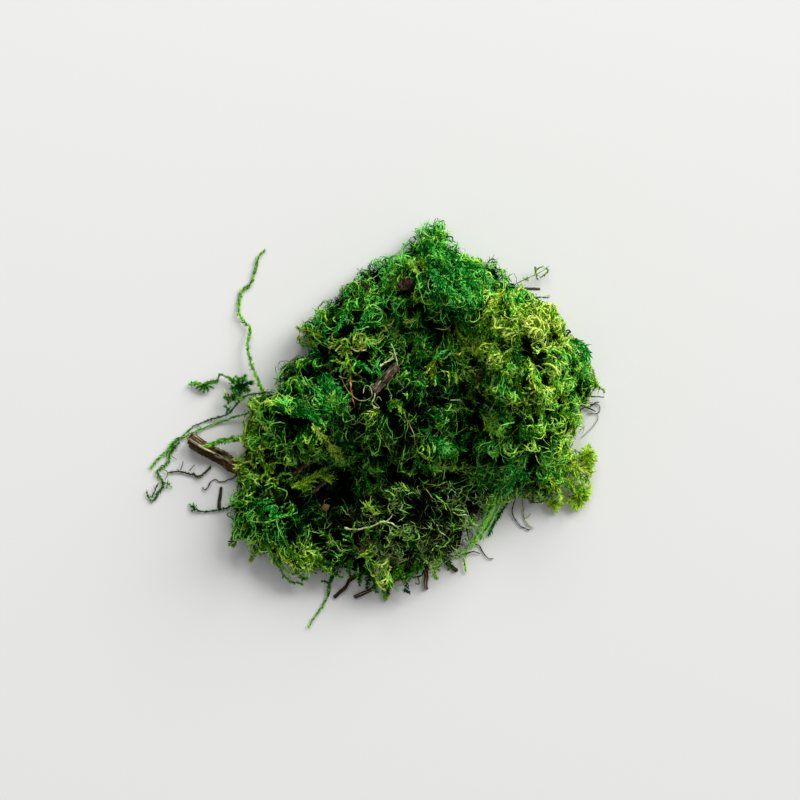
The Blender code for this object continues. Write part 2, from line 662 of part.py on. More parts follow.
def build_right_side(around):
    """Sprigs, sticks and curled shoots on the far and right edges."""
    grow(around, "far_right_sprig",
         ((30.0, 44.0), (36.1, 50.2), (41.4, 53.4), (47.9, 56.5), (53.3, 59.3)),
         shoot_section(0.5, 0.9), "lime_green", 0.8, root=24.0, tip=3.0)
    grow(around, "far_right_stick", ((34.0, 47.5), (42.4, 50.9), (51.0, 51.2)),
         round_section(0.65, sides=6, roughness=0.2), "dark_bark", 0.7, root=16.0, tip=6.0, pitch=2.0)
    grow(around, "dark_blade", ((40.0, 44.5), (46.0, 47.6), (54.2, 48.1)),
         frond_section(1.0, 0.7, stalk=0.0, widest=0.1), "deep_green", 0.8, root=12.0, tip=4.0)
    grow(around, "curled_shoot",
         ((54.0, 27.2), (59.5, 29.2), (63.6, 30.4), (66.9, 28.6), (68.9, 25.7), (68.0, 22.4)),
         shoot_section(0.7, 0.9), "deep_green", 0.9, root=20.0, tip=13.0, pitch=1.3)
    grow(around, "long_olive_shoot", ((57.0, 31.0), (64.5, 24.0), (69.8, 18.1), (76.0, 10.5)),
         shoot_section(0.6, 0.6), "lime_green", 0.8, root=24.0, tip=7.0)
    grow(around, "dark_side_stem", ((60.0, 9.5), (66.0, 9.2), (71.0, 8.6), (76.5, 8.4)),
         round_section(0.4, sides=5), "dark_bark", 0.4, root=9.0, tip=4.0, pitch=1.8)
    grow(around, "side_thread",
         ((60.0, 5.6), (67.7, 4.9), (71.7, 5.6), (74.8, 5.0), (74.6, 2.2), (70.0, 1.6)),
         round_section(0.4, sides=5), "olive_green", 0.4, root=3.0)


def build_right_fronds(around):
    """The feathery lime fronds that fan out at the near right corner."""
    grow(around, "upper_right_frond",
         ((47.6, -22.0), (54.0, -21.4), (58.7, -20.0), (62.7, -17.4), (66.3, -15.4),
          (69.0, -13.6), (70.6, -12.1)),
         frond_section(2.9, 1.3, stalk=0.35, widest=0.9), "lime_green", 0.9, root=9.0, tip=4.5, pitch=1.2)
    grow(around, "lower_right_frond",
         ((50.1, -23.8), (55.7, -23.8), (59.7, -24.6), (63.3, -26.4), (65.4, -29.0),
          (66.4, -31.8), (66.6, -35.2)),
         frond_section(3.2, 1.3, stalk=0.3, widest=0.9), "lime_green", 1.0, root=5.0, tip=2.2, pitch=1.2)
    grow(around, "near_right_frond",
         ((48.2, -25.5), (52.2, -27.9), (55.0, -30.7), (56.6, -33.4), (57.4, -36.4)),
         frond_section(1.9, 1.1, stalk=0.15, widest=0.7), "lime_green", 0.85, root=4.0, tip=1.4, pitch=1.1)


def build_near_right_strands(around):
    """The trailing shoot and the thin stems in front of the near right skirt."""
    thin = round_section(0.38, sides=5, roughness=0.2)
    grow(around, "near_trailing_shoot",
         ((36.2, -26.2), (35.6, -29.4), (34.6, -32.6), (32.0, -36.6), (30.2, -40.0),
          (29.0, -43.7), (26.8, -47.9), (23.5, -51.7), (21.6, -54.1), (20.8, -56.5),
          (21.1, -59.1), (21.5, -60.7)),
         shoot_section(0.7, 0.7), "bright_green", 0.8, root=11.0, tip=1.2)
    grow(around, "near_dark_shoot",
         ((40.2, -27.9), (38.8, -31.9), (37.2, -35.0), (35.6, -37.4), (34.3, -39.8),
          (32.9, -42.2), (31.6, -44.6), (30.9, -46.6)),
         shoot_section(0.5, 0.5), "deep_green", 0.65, root=6.0, pitch=1.4)
    grow(around, "near_thin_stem",
         ((41.9, -28.3), (41.3, -31.9), (40.3, -35.1), (40.0, -37.9), (41.1, -40.3),
          (43.1, -42.9), (45.1, -44.1), (47.1, -44.7)),
         thin, "dark_bark", 0.45, root=4.0, pitch=1.6)
    grow(around, "near_forked_stem",
         ((43.5, -28.3), (44.1, -33.9), (44.5, -36.7), (44.7, -39.1), (45.4, -41.4),
          (47.0, -43.1), (48.7, -44.2)),
         thin, "olive_green", 0.45, root=3.0, pitch=1.6)
    grow(around, "hooked_stem",
         ((24.7, -50.1), (26.9, -51.1), (27.7, -52.6), (28.9, -54.4), (30.7, -56.2),
          (32.5, -56.2)),
         thin, "bark_brown", 0.5, root=1.4, pitch=1.5)


def build_near_edge(around):
    """Sticks and shoots that lie under the near fringe."""
    stick = round_section(0.55, sides=5, roughness=0.35)
    grow(around, "near_right_stick",
         ((8.8, -53.4), (12.0, -56.2), (14.8, -58.6), (16.9, -60.2), (18.3, -61.4)),
         round_section(0.6, sides=6, roughness=0.3), "dark_bark", 0.7, pitch=1.5)
    grow(around, "near_left_runner",
         ((-30.3, -55.8), (-31.1, -59.8), (-32.3, -63.4), (-33.0, -65.8), (-33.5, -68.6),
          (-34.0, -71.4), (-34.9, -73.8), (-36.7, -76.6), (-39.1, -80.0), (-41.3, -83.4)),
         shoot_section(0.5, 0.65), "bright_green", 0.7, root=4.0, pitch=1.4)
    grow(around, "dark_near_stick",
         ((-16.4, -56.6), (-19.2, -60.0), (-22.0, -62.8), (-24.8, -64.8), (-26.3, -67.4),
          (-28.1, -69.2), (-29.9, -70.7), (-31.3, -71.9)),
         stick, "dark_bark", 0.65, pitch=1.6)
    grow(around, "brown_near_stick",
         ((-14.0, -59.8), (-13.8, -63.4), (-14.6, -66.6), (-16.4, -68.7), (-20.0, -70.2),
          (-23.4, -71.5)),
         stick, "bark_brown", 0.65, pitch=1.6)
    grow(around, "near_hanging_frond",
         ((-15.2, -55.0), (-13.0, -59.0), (-11.8, -62.2), (-10.6, -65.4), (-10.1, -68.6),
          (-10.7, -72.4)),
         frond_section(1.4, 1.0, stalk=0.1, widest=0.3), "deep_green", 0.8, root=6.0, tip=1.2, pitch=1.1)
    grow(around, "bark_near_twig",
         ((4.8, -56.6), (5.4, -60.6), (5.7, -63.8), (5.4, -66.2), (5.8, -68.8)),
         stick, "bark_brown", 0.65, pitch=1.6)


def main():
    for left_over in list(bpy.data.objects):
        bpy.data.objects.remove(left_over, do_unlink=True)
    around = [surface_of(build_mat())]
    build_dead_twig(around)
    build_caught_twigs(around)
    build_threads(around)
    build_top_fronds(around)
    build_left_side(around)
    build_near_left_bits(around)
    build_right_side(around)
    build_right_fronds(around)
    build_near_right_strands(around)
    build_near_edge(around)


main()
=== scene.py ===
"""Grows a torn handful of dyed, dried moss, with its runners, twigs and bark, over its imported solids."""

import functools
import math

import bmesh
import bpy
import numpy as np
from bpy.props import FloatProperty, FloatVectorProperty, IntProperty, PointerProperty
from bpy.types import Operator, Panel, PropertyGroup
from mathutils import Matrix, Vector
from mathutils.bvhtree import BVHTree


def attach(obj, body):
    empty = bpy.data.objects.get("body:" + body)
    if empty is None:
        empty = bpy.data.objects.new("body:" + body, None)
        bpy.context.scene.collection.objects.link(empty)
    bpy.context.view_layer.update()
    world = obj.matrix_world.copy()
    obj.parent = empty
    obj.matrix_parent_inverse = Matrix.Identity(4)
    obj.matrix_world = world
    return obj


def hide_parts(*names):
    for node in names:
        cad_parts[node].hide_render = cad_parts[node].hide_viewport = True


bl_info = {
    "name": "Moss clump",
    "version": (1, 0, 0),
    "blender": (4, 5, 0),
    "location": "3D View > Sidebar > Moss",
    "description": "Grows a torn handful of dried moss over its packed solids",
    "category": "Object",
}

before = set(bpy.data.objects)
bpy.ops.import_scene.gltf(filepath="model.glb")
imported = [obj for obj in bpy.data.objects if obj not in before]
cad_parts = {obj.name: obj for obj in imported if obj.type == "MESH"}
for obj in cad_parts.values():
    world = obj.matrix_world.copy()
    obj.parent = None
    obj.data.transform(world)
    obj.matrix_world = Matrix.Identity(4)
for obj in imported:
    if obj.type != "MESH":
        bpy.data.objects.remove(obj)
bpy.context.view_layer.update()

MM = 0.001
# Up the map the tone carries painted shade and painted highlight as well as the leaf's own tone.
UV_NAME = "OFBake"  # across the map: how warm the dye is; up it: how light the leaf is

# ---------------------------------------------------------------- settings


def linear(hex_code):
    """An sRGB hex colour as linear light."""
    made = []
    for i in (1, 3, 5):
        channel = int(hex_code[i : i + 2], 16) / 255
        made.append(channel / 12.92 if channel <= 0.04045 else ((channel + 0.055) / 1.055) ** 2.4)
    return tuple(made)


def read_table(text):
    """The rows of a table: words, then numbers, then a route of points x,y in millimetres.

    A word after a number starts the next row. Numbers joined by commas are one point, or the values along a line.
    """
    rows = []
    for item in text.split():
        if not item[0].isalpha():
            values = tuple(float(v) for v in item.split(","))
            rows[-1].append(values if len(values) > 1 else values[0])
        elif rows and isinstance(rows[-1][-1], str):
            rows[-1].append(item)
        else:
            rows.append([item])
    return rows


def colour_setting(name, description, hex_code):
    """A colour that a user may change."""
    return FloatVectorProperty(
        name=name, description=description, subtype="COLOR", size=3, min=0.0, max=1.0, default=linear(hex_code)
    )


class MossColours(PropertyGroup):
    """The middle tone of each moss where its dye is coolest and warmest, and of the bark and husk."""

    emerald_cool: colour_setting("Emerald, cool", "Middle tone of the emerald moss where it is bluest", "#089428")
    emerald_warm: colour_setting("Emerald, warm", "Middle tone of the emerald moss where it is yellowest", "#2AAA16")
    leaf_cool: colour_setting("Leaf green, cool", "Middle tone of the leaf green moss where it is bluest", "#1C9A14")
    leaf_warm: colour_setting("Leaf green, warm", "Middle tone of the leaf green moss where it is yellowest", "#68B80E")
    yellow_cool: colour_setting("Yellow-green, cool", "Middle tone of the little-dyed moss, greener side", "#60C418")
    yellow_warm: colour_setting("Yellow-green, warm", "Middle tone of the little-dyed moss, yellower side", "#ACCE22")
    inner_cool: colour_setting("Inner, cool", "Middle tone of the shaded inner growth, greener side", "#12661C")
    inner_warm: colour_setting("Inner, warm", "Middle tone of the shaded inner growth, browner side", "#3A621A")
    grey_cool: colour_setting("Grey-green, cool", "Middle tone of the low dusty moss, greener side", "#466A32")
    grey_warm: colour_setting("Grey-green, warm", "Middle tone of the low dusty moss, browner side", "#6C7A42")
    lime_cool: colour_setting("Lime, cool", "Middle tone of the freshest tips, greener side", "#7CC81A")
    lime_warm: colour_setting("Lime, warm", "Middle tone of the freshest tips, yellower side", "#B6D824")
    bark: colour_setting("Bark", "Middle tone of the weathered bark", "#463720")
    husk: colour_setting("Husk", "Middle tone of the seed husk", "#A07C44")
    floor: colour_setting("Floor", "Colour of the painted board that it lies on", "#E9E9E7")


class MossSizes(PropertyGroup):
    """How much grows, and how large."""

    litter_depth: FloatProperty(
        name="Litter depth", description="How far the dense inside lies below the tips of the moss",
        default=3.6 * MM, min=1.0 * MM, max=10.0 * MM, subtype="DISTANCE", unit="LENGTH",
    )
    fringe_depth: FloatProperty(
        name="Fringe depth", description="How far the dense inside is drawn back along the thin near edge",
        default=11.5 * MM, min=0.0, max=14.0 * MM, subtype="DISTANCE", unit="LENGTH",
    )
    clump_height: FloatProperty(
        name="Clump height", description="How far the tufts rise and fall between the gaps",
        default=1.9 * MM, min=0.0, max=3.0 * MM, subtype="DISTANCE", unit="LENGTH",
    )
    leaf_scale: FloatProperty(
        name="Leaf size", description="Size of every small leaf against the real one", default=1.0, min=0.5, max=2.0,
        subtype="FACTOR",
    )
    deep_shoots: IntProperty(
        name="Deep shoots", description="Number of dark shoots inside the mat", default=1550, min=100, max=4000
    )
    fronds: IntProperty(
        name="Fronds", description="Number of places where a frond may start on top", default=1800, min=100, max=3000
    )
    curly_share: FloatProperty(
        name="Curly shoots", description="Share of the full number of curly shoots", default=1.0, min=0.1, max=1.5,
        subtype="FACTOR",
    )
    wiry_share: FloatProperty(
        name="Wiry shoots", description="Share of the full number of wiry shoots", default=1.0, min=0.1, max=1.5,
        subtype="FACTOR",
    )
    threads: IntProperty(
        name="Threads", description="Number of bare stems that wander over the moss", default=170, min=0, max=1500
    )
    window_power: FloatProperty(
        name="Window light", description="Power of the far soft light", default=1520.0, min=0.0, unit="POWER"
    )
    card_power: FloatProperty(
        name="Card light", description="Power of the near soft light past the far edge", default=14.0, min=0.0,
        unit="POWER",
    )
    room_strength: FloatProperty(
        name="Room light", description="Strength of the even light of the room", default=0.28, min=0.0, max=2.0
    )


def colours():
    """The colour settings of this scene."""
    return bpy.context.scene.moss_colours


def sizes():
    """The size settings of this scene."""
    return bpy.context.scene.moss_sizes


# ---------------------------------------------------------------- finishes

# The kinds of moss: the finish, the kind's name in its pieces, and the slot.
KINDS = {
    "emerald": ("emerald_dyed_moss", "emerald", "bright_green"),
    "leaf": ("leaf_green_dyed_moss", "leaf_green", "moss_green"),
    "yellow": ("yellow_green_dried_moss", "yellow_green", "lime_green"),
    "inner": ("inner_dried_moss", "inner", "deep_green"),
    "grey": ("grey_green_dried_moss", "grey_green", "olive_green"),
    "lime": ("lime_dried_moss", "lime", "lime_green"),
}
# What each finish gives the eye: its root, shade, middle and tip (sRGB, or the setting that holds the tone) where the
# dye is coolest and where it is warmest, and the roughness of the dried leaf or stem. The dark end of each ramp is
# reached mostly under painted shade, and the tip stop is partly the paler leaf tip and partly painted highlight.
FINISHES = {
    # Sheet moss dyed emerald and dried: soft and matt, blue-green to grass green.
    "emerald": (
        ("#000501", "#024E10", "emerald_cool", "#6CE86A"), ("#010701", "#085C0A", "emerald_warm", "#A4F05C"), 0.6),
    # Sheet moss dyed leaf green and dried: matt, with yellowed tips here and there.
    "leaf": (("#010701", "#07540C", "leaf_cool", "#88E65A"), ("#040901", "#2E6E08", "leaf_warm", "#CAF05C"), 0.6),
    # Moss that took little dye, dried: yellow-green with straw-pale tips.
    "yellow": (
        ("#020701", "#327804", "yellow_cool", "#C0F050"), ("#060601", "#5E7C06", "yellow_warm", "#F4F48C"), 0.55),
    # Shaded inner moss, dried: nearly black-green and matt.
    "inner": (("#020A02", "#06300A", "inner_cool", "#58B850"), ("#050A02", "#1A3808", "inner_warm", "#9EC45C"), 0.7),
    # Low moss, dried and dusty: flat grey-green.
    "grey": (("#010301", "#16340F", "grey_cool", "#94CC70"), ("#040402", "#303F18", "grey_warm", "#BCD486"), 0.75),
    # Lime moss tips, the freshest dye, dried: bright and matt.
    "lime": (("#081A02", "#3A8A0A", "lime_cool", "#B8F048"), ("#0F1A02", "#689A10", "lime_warm", "#DEF458"), 0.55),
    # Bare moss stems, dried: olive to straw, slightly smooth.
    "dried_moss_stems": (
        ("#080D03", "#3A5418", "#84A044", "#D8E8A4"), ("#0E0A04", "#5A5424", "#AAA45C", "#F0ECC0"), 0.6),
    # Moss stem that kept its red, dried: thin and slightly smooth.
    "dried_red_moss_stem": (
        ("#100403", "#421810", "#8A4030", "#D69A86"), ("#120603", "#52240F", "#9A5638", "#DCAA90"), 0.5),
    # Litter fibres, rotted: dark brown and dusty.
    "rotted_litter_fibres": (
        ("#030302", "#241C10", "#554A34", "#A89A7A"), ("#050402", "#302312", "#604B30", "#AA966C"), 0.8),
}
TONE_STOPS = (0.16, 0.42, 0.67, 0.92)

# Bark finishes: fissure, body, worn ridge and blot (sRGB, or the setting that holds the tone), and how strongly the
# ridge shows along the upper side.
BARKS = {
    # Dead broadleaf twig, weathered: grey-brown fibres, dark fissures, a cream ridge where the bark has worn off.
    "weathered_bark": ("#0A0603", "bark", "#AC9E78", "#54301A", 0.9),
    # Old twig bark, weathered grey: dark fissures, silvery streaks and a little rust.
    "greyed_bark": ("#070604", "#423A2C", "#A89C84", "#452A1A", 0.25),
    # Wet-rotted twig bark: nearly black, brown where it has rubbed off.
    "rotted_bark": ("#050302", "#35271A", "#7C6650", "#3E2A1C", 0.2),
    # Seed husk, dried: tan and papery.
    "dried_seed_husk": ("#4A3215", "husk", "#CDB07A", "#7A5224", 0.0),
}
BARE_WOOD = "#DCD0AC"  # the pale wood where the ridge has lost its bark
RIDGE_AT = 0.27  # where round the stick the worn ridge runs, as a share of a turn; the top is at 0.25


def add_node(tree, kind, settings=None, links=None, stops=(), **attributes):
    """A node with its socket values and colour stops set and its inputs linked."""
    made = tree.nodes.new(kind)
    for key, value in attributes.items():
        setattr(made, key, value)
    for key, value in (settings or {}).items():
        made.inputs[key].default_value = value
    for key, source in (links or {}).items():
        tree.links.new(source, made.inputs[key])
    while stops and len(made.color_ramp.elements) > 1:
        made.color_ramp.elements.remove(made.color_ramp.elements[-1])
    for i, (place, colour) in enumerate(stops):
        stop = made.color_ramp.elements.new(place) if i else made.color_ramp.elements[0]
        stop.position = place
        stop.color = (*colour, 1.0) if isinstance(colour, tuple) else (colour, colour, colour, 1.0)
    return made


def new_material(name, roughness, gloss=0.5):
    """A Principled material, its tree and its shader."""
    made = bpy.data.materials.new(name)
    made.use_nodes = True
    shader = made.node_tree.nodes["Principled BSDF"]
    for key, value in (("Roughness", roughness), ("IOR", 1.45), ("Specular IOR Level", gloss)):
        shader.inputs[key].default_value = value
    return made, made.node_tree, shader


def tone_of(colour):
    """The linear colour of a hex code, or of the setting with this name."""
    return linear(colour) if colour.startswith("#") else tuple(getattr(colours(), colour))


def roughen(tree, shader, source, strength, distance):
    """Lets the surface stand up by distance (m) where source is light."""
    relief = add_node(
        tree, "ShaderNodeBump", settings={"Strength": strength, "Distance": distance}, links={"Height": source}
    )
    tree.links.new(relief.outputs["Normal"], shader.inputs["Normal"])


def moss_material(kind):
    """Warmth runs across the map and tone up it, so the colour bakes whole."""
    name = KINDS[kind][0] if kind in KINDS else kind
    made = bpy.data.materials.get(name)
    if made:
        return made
    *ramps, roughness = FINISHES[kind]
    made, tree, shader = new_material(name, roughness, gloss=0.02)
    place = add_node(tree, "ShaderNodeUVMap", uv_map=UV_NAME)
    parts = add_node(tree, "ShaderNodeSeparateXYZ", links={"Vector": place.outputs["UV"]})
    dyes = []
    for ramp in ramps:
        stops = list(zip(TONE_STOPS, map(tone_of, ramp)))
        dye = add_node(tree, "ShaderNodeValToRGB", links={"Fac": parts.outputs["Y"]}, stops=stops)
        dyes.append(dye.outputs["Color"])
    blend = add_node(tree, "ShaderNodeMix", data_type="RGBA", links={0: parts.outputs["X"], 6: dyes[0], 7: dyes[1]})
    tree.links.new(blend.outputs[2], shader.inputs["Base Color"])
    return made


def bark_material(name):
    """Fibres run along the twig: noise drawn long on a map that goes round it and along it."""
    made = bpy.data.materials.get(name)
    if made:
        return made
    *tones, ridge = BARKS[name]
    fissure, body, worn, blot = map(tone_of, tones)
    made, tree, shader = new_material(name, roughness=0.9, gloss=0.15)
    place = add_node(tree, "ShaderNodeUVMap", uv_map=UV_NAME).outputs["UV"]
    # 30 fibres round a twig 5 mm thick are 0.5 mm wide: coarser than real ones, to show at this size.
    drawn = add_node(tree, "ShaderNodeMapping", settings={"Scale": (30.0, 5.0, 1.0)}, links={"Vector": place})
    fibres = add_node(
        tree, "ShaderNodeTexNoise", settings={"Scale": 1.0, "Detail": 5.0, "Roughness": 0.7},
        links={"Vector": drawn.outputs["Vector"]},
    ).outputs["Fac"]
    colour = add_node(
        tree, "ShaderNodeValToRGB", links={"Fac": fibres}, stops=[(0.43, fissure), (0.51, body), (0.66, worn)]
    )
    wide = add_node(
        tree, "ShaderNodeMapping", settings={"Scale": (4.0, 6.0, 1.0), "Location": (3.1, 1.7, 0.0)},
        links={"Vector": place},
    )
    blots = add_node(
        tree, "ShaderNodeTexNoise", settings={"Scale": 1.0, "Detail": 3.0}, links={"Vector": wide.outputs["Vector"]}
    )
    share = add_node(
        tree, "ShaderNodeValToRGB", links={"Fac": blots.outputs["Fac"]}, stops=[(0.48, 0.0), (0.6, 0.8)]
    )
    base = add_node(
        tree, "ShaderNodeMix", data_type="RGBA", settings={7: (*blot, 1.0)},
        links={0: share.outputs["Color"], 6: colour.outputs["Color"]},
    )
    if ridge:
        # The worn ridge runs along a band of the map and breaks up where the fibres are deep.
        parts = add_node(tree, "ShaderNodeSeparateXYZ", links={"Vector": place})
        edges = zip((-0.05, -0.015, 0.015, 0.05), (0.0, ridge, ridge, 0.0))
        cover, *others = (
            add_node(tree, "ShaderNodeValToRGB", links={"Fac": source}, stops=stops).outputs["Color"]
            for source, stops in (
                (parts.outputs["X"], [(RIDGE_AT + edge, grey) for edge, grey in edges]),
                (fibres, [(0.46, 0.0), (0.54, 1.0)]),
                (parts.outputs["Y"], [(0.35, 0.15), (0.6, 1.0)]),
            )
        )
        for other in others:
            both = {0: cover, 1: other}
            cover = add_node(tree, "ShaderNodeMath", operation="MULTIPLY", links=both).outputs["Value"]
        base = add_node(
            tree, "ShaderNodeMix", data_type="RGBA", settings={7: (*linear(BARE_WOOD), 1.0)},
            links={0: cover, 6: base.outputs[2]},
        )
    tree.links.new(base.outputs[2], shader.inputs["Base Color"])
    roughen(tree, shader, fibres, strength=0.9, distance=0.4 * MM)
    return made


def litter_and_shade_material():
    """Rotted moss litter, packed: brown crumbs about 1 mm wide on near black, the near black being painted shade seen
    in the gaps.
    """
    made, tree, shader = new_material("rotted_moss_litter", roughness=0.95, gloss=0.05)
    place = add_node(tree, "ShaderNodeUVMap", uv_map=UV_NAME)
    crumbs = add_node(
        tree, "ShaderNodeTexNoise", settings={"Scale": 130.0, "Detail": 4.0, "Roughness": 0.6},
        links={"Vector": place.outputs["UV"]},
    ).outputs["Fac"]
    # The two darkest tones are painted shade for the gaps; the browns are the crumbs.
    tones = map(linear, ("#020302", "#060A04", "#1C1A0C", "#3A2E18"))
    stops = list(zip((0.42, 0.54, 0.66, 0.78), tones))
    colour = add_node(tree, "ShaderNodeValToRGB", links={"Fac": crumbs}, stops=stops)
    tree.links.new(colour.outputs["Color"], shader.inputs["Base Color"])
    roughen(tree, shader, crumbs, strength=0.8, distance=0.6 * MM)
    return made


# ---------------------------------------------------------------- where each moss grows

# Tops that the moss falls away from: x, y, reach (mm).
TOPS = (
    (9, 52, 24), (44, 26, 24), (-28, 34, 24), (-8, 4, 22), (44, -4, 20), (-47, 0, 20),
    (-54, -36, 18), (4, -34, 22), (-22, -50, 18), (46, -20, 14),
)

# Where each kind of moss holds, where dark gaps and dips let little grow on top and painted shade darkens the tone,
# where the moss is drawn lighter, and the thin near fringe, where the floor shows between the strands and painted light
# lightens them. Each patch is an oval: x, y, half length, half width (mm), turn in degrees, strength.
PATCHES = {name: patches for name, *patches in read_table("""
emerald 9,54,17,25,0,1.25 -19,42,26,12,42,1 -36,8,13,10,30,1.2 -58,-38,11,6,10,1.9 38,20,5,6,0,0.8 36,8,5,6,0,1
33,-3,6,5,0,0.8 62,24,6,7,0,1.3 41,46,7,4,-25,1.5 14,-12,9,5,0,1 38,-25,5,9,-30,1.2 54,-21,7,5,0,0.9
30,-22,12,8,0,0.6
leaf 0,0,400,400,0,0.5 -46,-12,16,14,0,0.8 44,-8,22,14,0,0.95 -26,24,22,10,42,0.7 60,12,9,16,0,1 59,27,6,6,0,1.4
46,45,7,4,-25,1.2 32,24,7,9,0,1 -6,-14,20,10,0,0.5 50,10,15,12,0,1.05 -50,-54,16,9,0,0.7
yellow 42,33,20,12,30,1.35 50,14,12,9,0,0.36 -67,-3,6,22,-8,1 -62,-25,7,9,0,0.65 -50,-57,14,7,0,0.5
-22,30,10,6,20,0.5 -5,-62,22,6,0,0.5
inner -4,0,24,22,0,0.75 17,32,16,7,-24,0.95 -31,-32,17,11,15,1.7 23,2,7,16,-10,0.95
grey 18,-40,28,16,0,1.3 -2,-50,22,10,0,0.8
lime 62,-18,8,12,0,1.2 64,-6,5,8,0,0.7 57,32,4,4,0,1 -40,-24,6,4,20,0.8
dark 16,33,13,5,-24,0.9 -31,-32,15,9,15,0.85 -6,-2,16,14,0,0.35 24,0,7,15,-10,0.5 -22,14,7,8,0,0.8 57,33,4,3,0,0.7
45,42,5,2,-25,0.6 38,26,4,3,20,0.5 50,20,4,3,-30,0.5 26,35,3,6,20,0.6 -40,22,5,4,30,0.5 2,-22,14,6,0,0.3
34,41,8,3,-35,0.5 -8,44,6,3,35,0.5 4,56,3,6,-20,0.4 15,47,7,3,-40,0.5 5,17,9,8,0,0.65 20,53,4,3,-40,0.5
-2,50,4,3,20,0.5 8,64,2,5,-15,0.4
bright 46,3,18,17,0,1 62,-24,10,12,0,0.5 -58,-38,10,7,0,0.4 7,57,14,17,0,0.9
fringe -48,-59,17,8,-32,1.15 -22,-66,16,7,-8,1 2,-64,16,8,10,1 22,-52,10,7,50,0.9 -66,-46,8,5,60,0.6
40,-36,12,5,20,0.7
""")}


def patch_strength(points, name):
    """How strongly the patches with this name hold each place."""
    best = np.zeros(len(points))
    for x, y, half_length, half_width, turn, strength in PATCHES[name]:
        a = math.radians(turn)
        dx, dy = points[:, 0] - x, points[:, 1] - y
        u = (dx * math.cos(a) + dy * math.sin(a)) / half_length
        v = (-dx * math.sin(a) + dy * math.cos(a)) / half_width
        best = np.maximum(best, strength * np.exp(-0.7 * (u * u + v * v) ** 1.2))
    return best


def slow_noise(points, size, seed):
    """A smooth random value for each place, about -1 to 1, with lumps about size mm wide."""
    rng = np.random.default_rng(seed)
    total = np.zeros(points.shape[:-1])
    for _ in range(6):
        wave = unit(rng.normal(0, 1, 3)) * rng.uniform(0.6, 1.6) * 2 * math.pi / size
        total += np.sin(points @ wave + rng.uniform(0, 6.3))
    return total / 3


def unit(vectors):
    """Vectors of length one."""
    return vectors / np.maximum(np.linalg.norm(vectors, axis=-1, keepdims=True), 1e-9)


UNDERSIDE = -0.35  # nothing grows where the surface faces down more than this
HIGH_ABOVE = 200  # a height over all of the mat, in millimetres
RIM_HEIGHT = 5.0  # the height of the mat's rim, where a line starts outside it


def evened(values):
    """Values along a line, each the mean of seven, with the ends held."""
    return np.convolve(np.pad(values, 3, mode="edge"), np.full(7, 1 / 7), "valid")


def points_of(mesh):
    """The points of a mesh in millimetres."""
    points = np.empty(len(mesh.vertices) * 3)
    mesh.vertices.foreach_get("co", points)
    return points.reshape(-1, 3) / MM


class Ground:
    """The mat's own surface, in millimetres, that the moss grows on."""

    def __init__(self, node_name):
        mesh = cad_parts[node_name].data
        mesh.calc_loop_triangles()
        self.points = points_of(mesh)
        corners = np.empty(len(mesh.loop_triangles) * 3, np.int32)
        mesh.loop_triangles.foreach_get("vertices", corners)
        self.corners = corners.reshape(-1, 3)
        self.tree = BVHTree.FromPolygons(self.points.tolist(), self.corners.tolist())
        a, b, c = (self.points[self.corners[:, i]] for i in range(3))
        cross = np.cross(b - a, c - a)
        self.areas = np.linalg.norm(cross, axis=1) / 2
        self.normals = unit(cross)

    def scatter(self, count, rng):
        """Even random places on the surface, but not on the flat underside."""
        weights = self.areas * (self.normals[:, 2] > UNDERSIDE)
        picked = rng.choice(len(weights), count, p=weights / weights.sum())
        u, v = rng.random((2, count))
        flip = u + v > 1
        u, v = np.where(flip, 1 - u, u), np.where(flip, 1 - v, v)
        a, b, c = (self.points[self.corners[picked, i]] for i in range(3))
        return a + (b - a) * u[:, None] + (c - a) * v[:, None], self.normals[picked]

    def follow(self, starts, normals, headings, steps, lengths, curls, wander, free, rng):
        """Paths that run over the surface, and leave it in a straight line over their last part."""
        count = len(starts)
        paths, ups = np.empty((count, steps, 3)), np.empty((count, steps, 3))
        turns = curls[:, None] + rng.normal(0, wander, (count, steps))
        for i in range(count):
            place, up, heading = starts[i], normals[i], headings[i]
            step = lengths[i] / (steps - 1)
            last_on = (1 - free[i]) * steps
            for k in range(steps):
                paths[i, k], ups[i, k] = place, up
                side = np.cross(up, heading)
                angle = turns[i, k] * step
                heading = heading * math.cos(angle) + side * math.sin(angle)
                place = place + heading * step
                if k < last_on:
                    near, facing, _, _ = self.tree.find_nearest(Vector(place))
                    place = np.array(near)
                    up = 0.6 * up + 0.4 * np.array(facing)
                    up = up / math.sqrt(up @ up)
                    heading = heading - up * (heading @ up)
                    heading = heading / math.sqrt(heading @ heading + 1e-12)
        return paths, ups

    def top_at(self, x, y):
        """The top of the mat at this place and its normal there, or none outside the mat."""
        return self.tree.ray_cast(Vector((x, y, HIGH_ABOVE)), Vector((0, 0, -1)))[:2]

    def over(self, route, pitch):
        """A smooth line over the top of the mat, and the way up from it at each point."""
        line, ups = [], []
        for x, y in spline(route, pitch):
            near, facing = self.top_at(x, y)
            if near is None:
                near, facing, _, _ = self.tree.find_nearest(Vector((x, y, line[-1][2] if line else RIM_HEIGHT)))
                near = Vector((x, y, near.z))
            line.append(np.array(near))
            ups.append(np.array(facing))
        line, ups = np.array(line), np.array(ups)
        for _ in range(2):
            line[1:-1] = (line[:-2] + 2 * line[1:-1] + line[2:]) / 4
            ups[1:-1] = (ups[:-2] + ups[1:-1] + ups[2:]) / 3
        return line, unit(ups)


@functools.cache
def ground():
    """The mat's surface, read once."""
    return Ground("moss_mat")


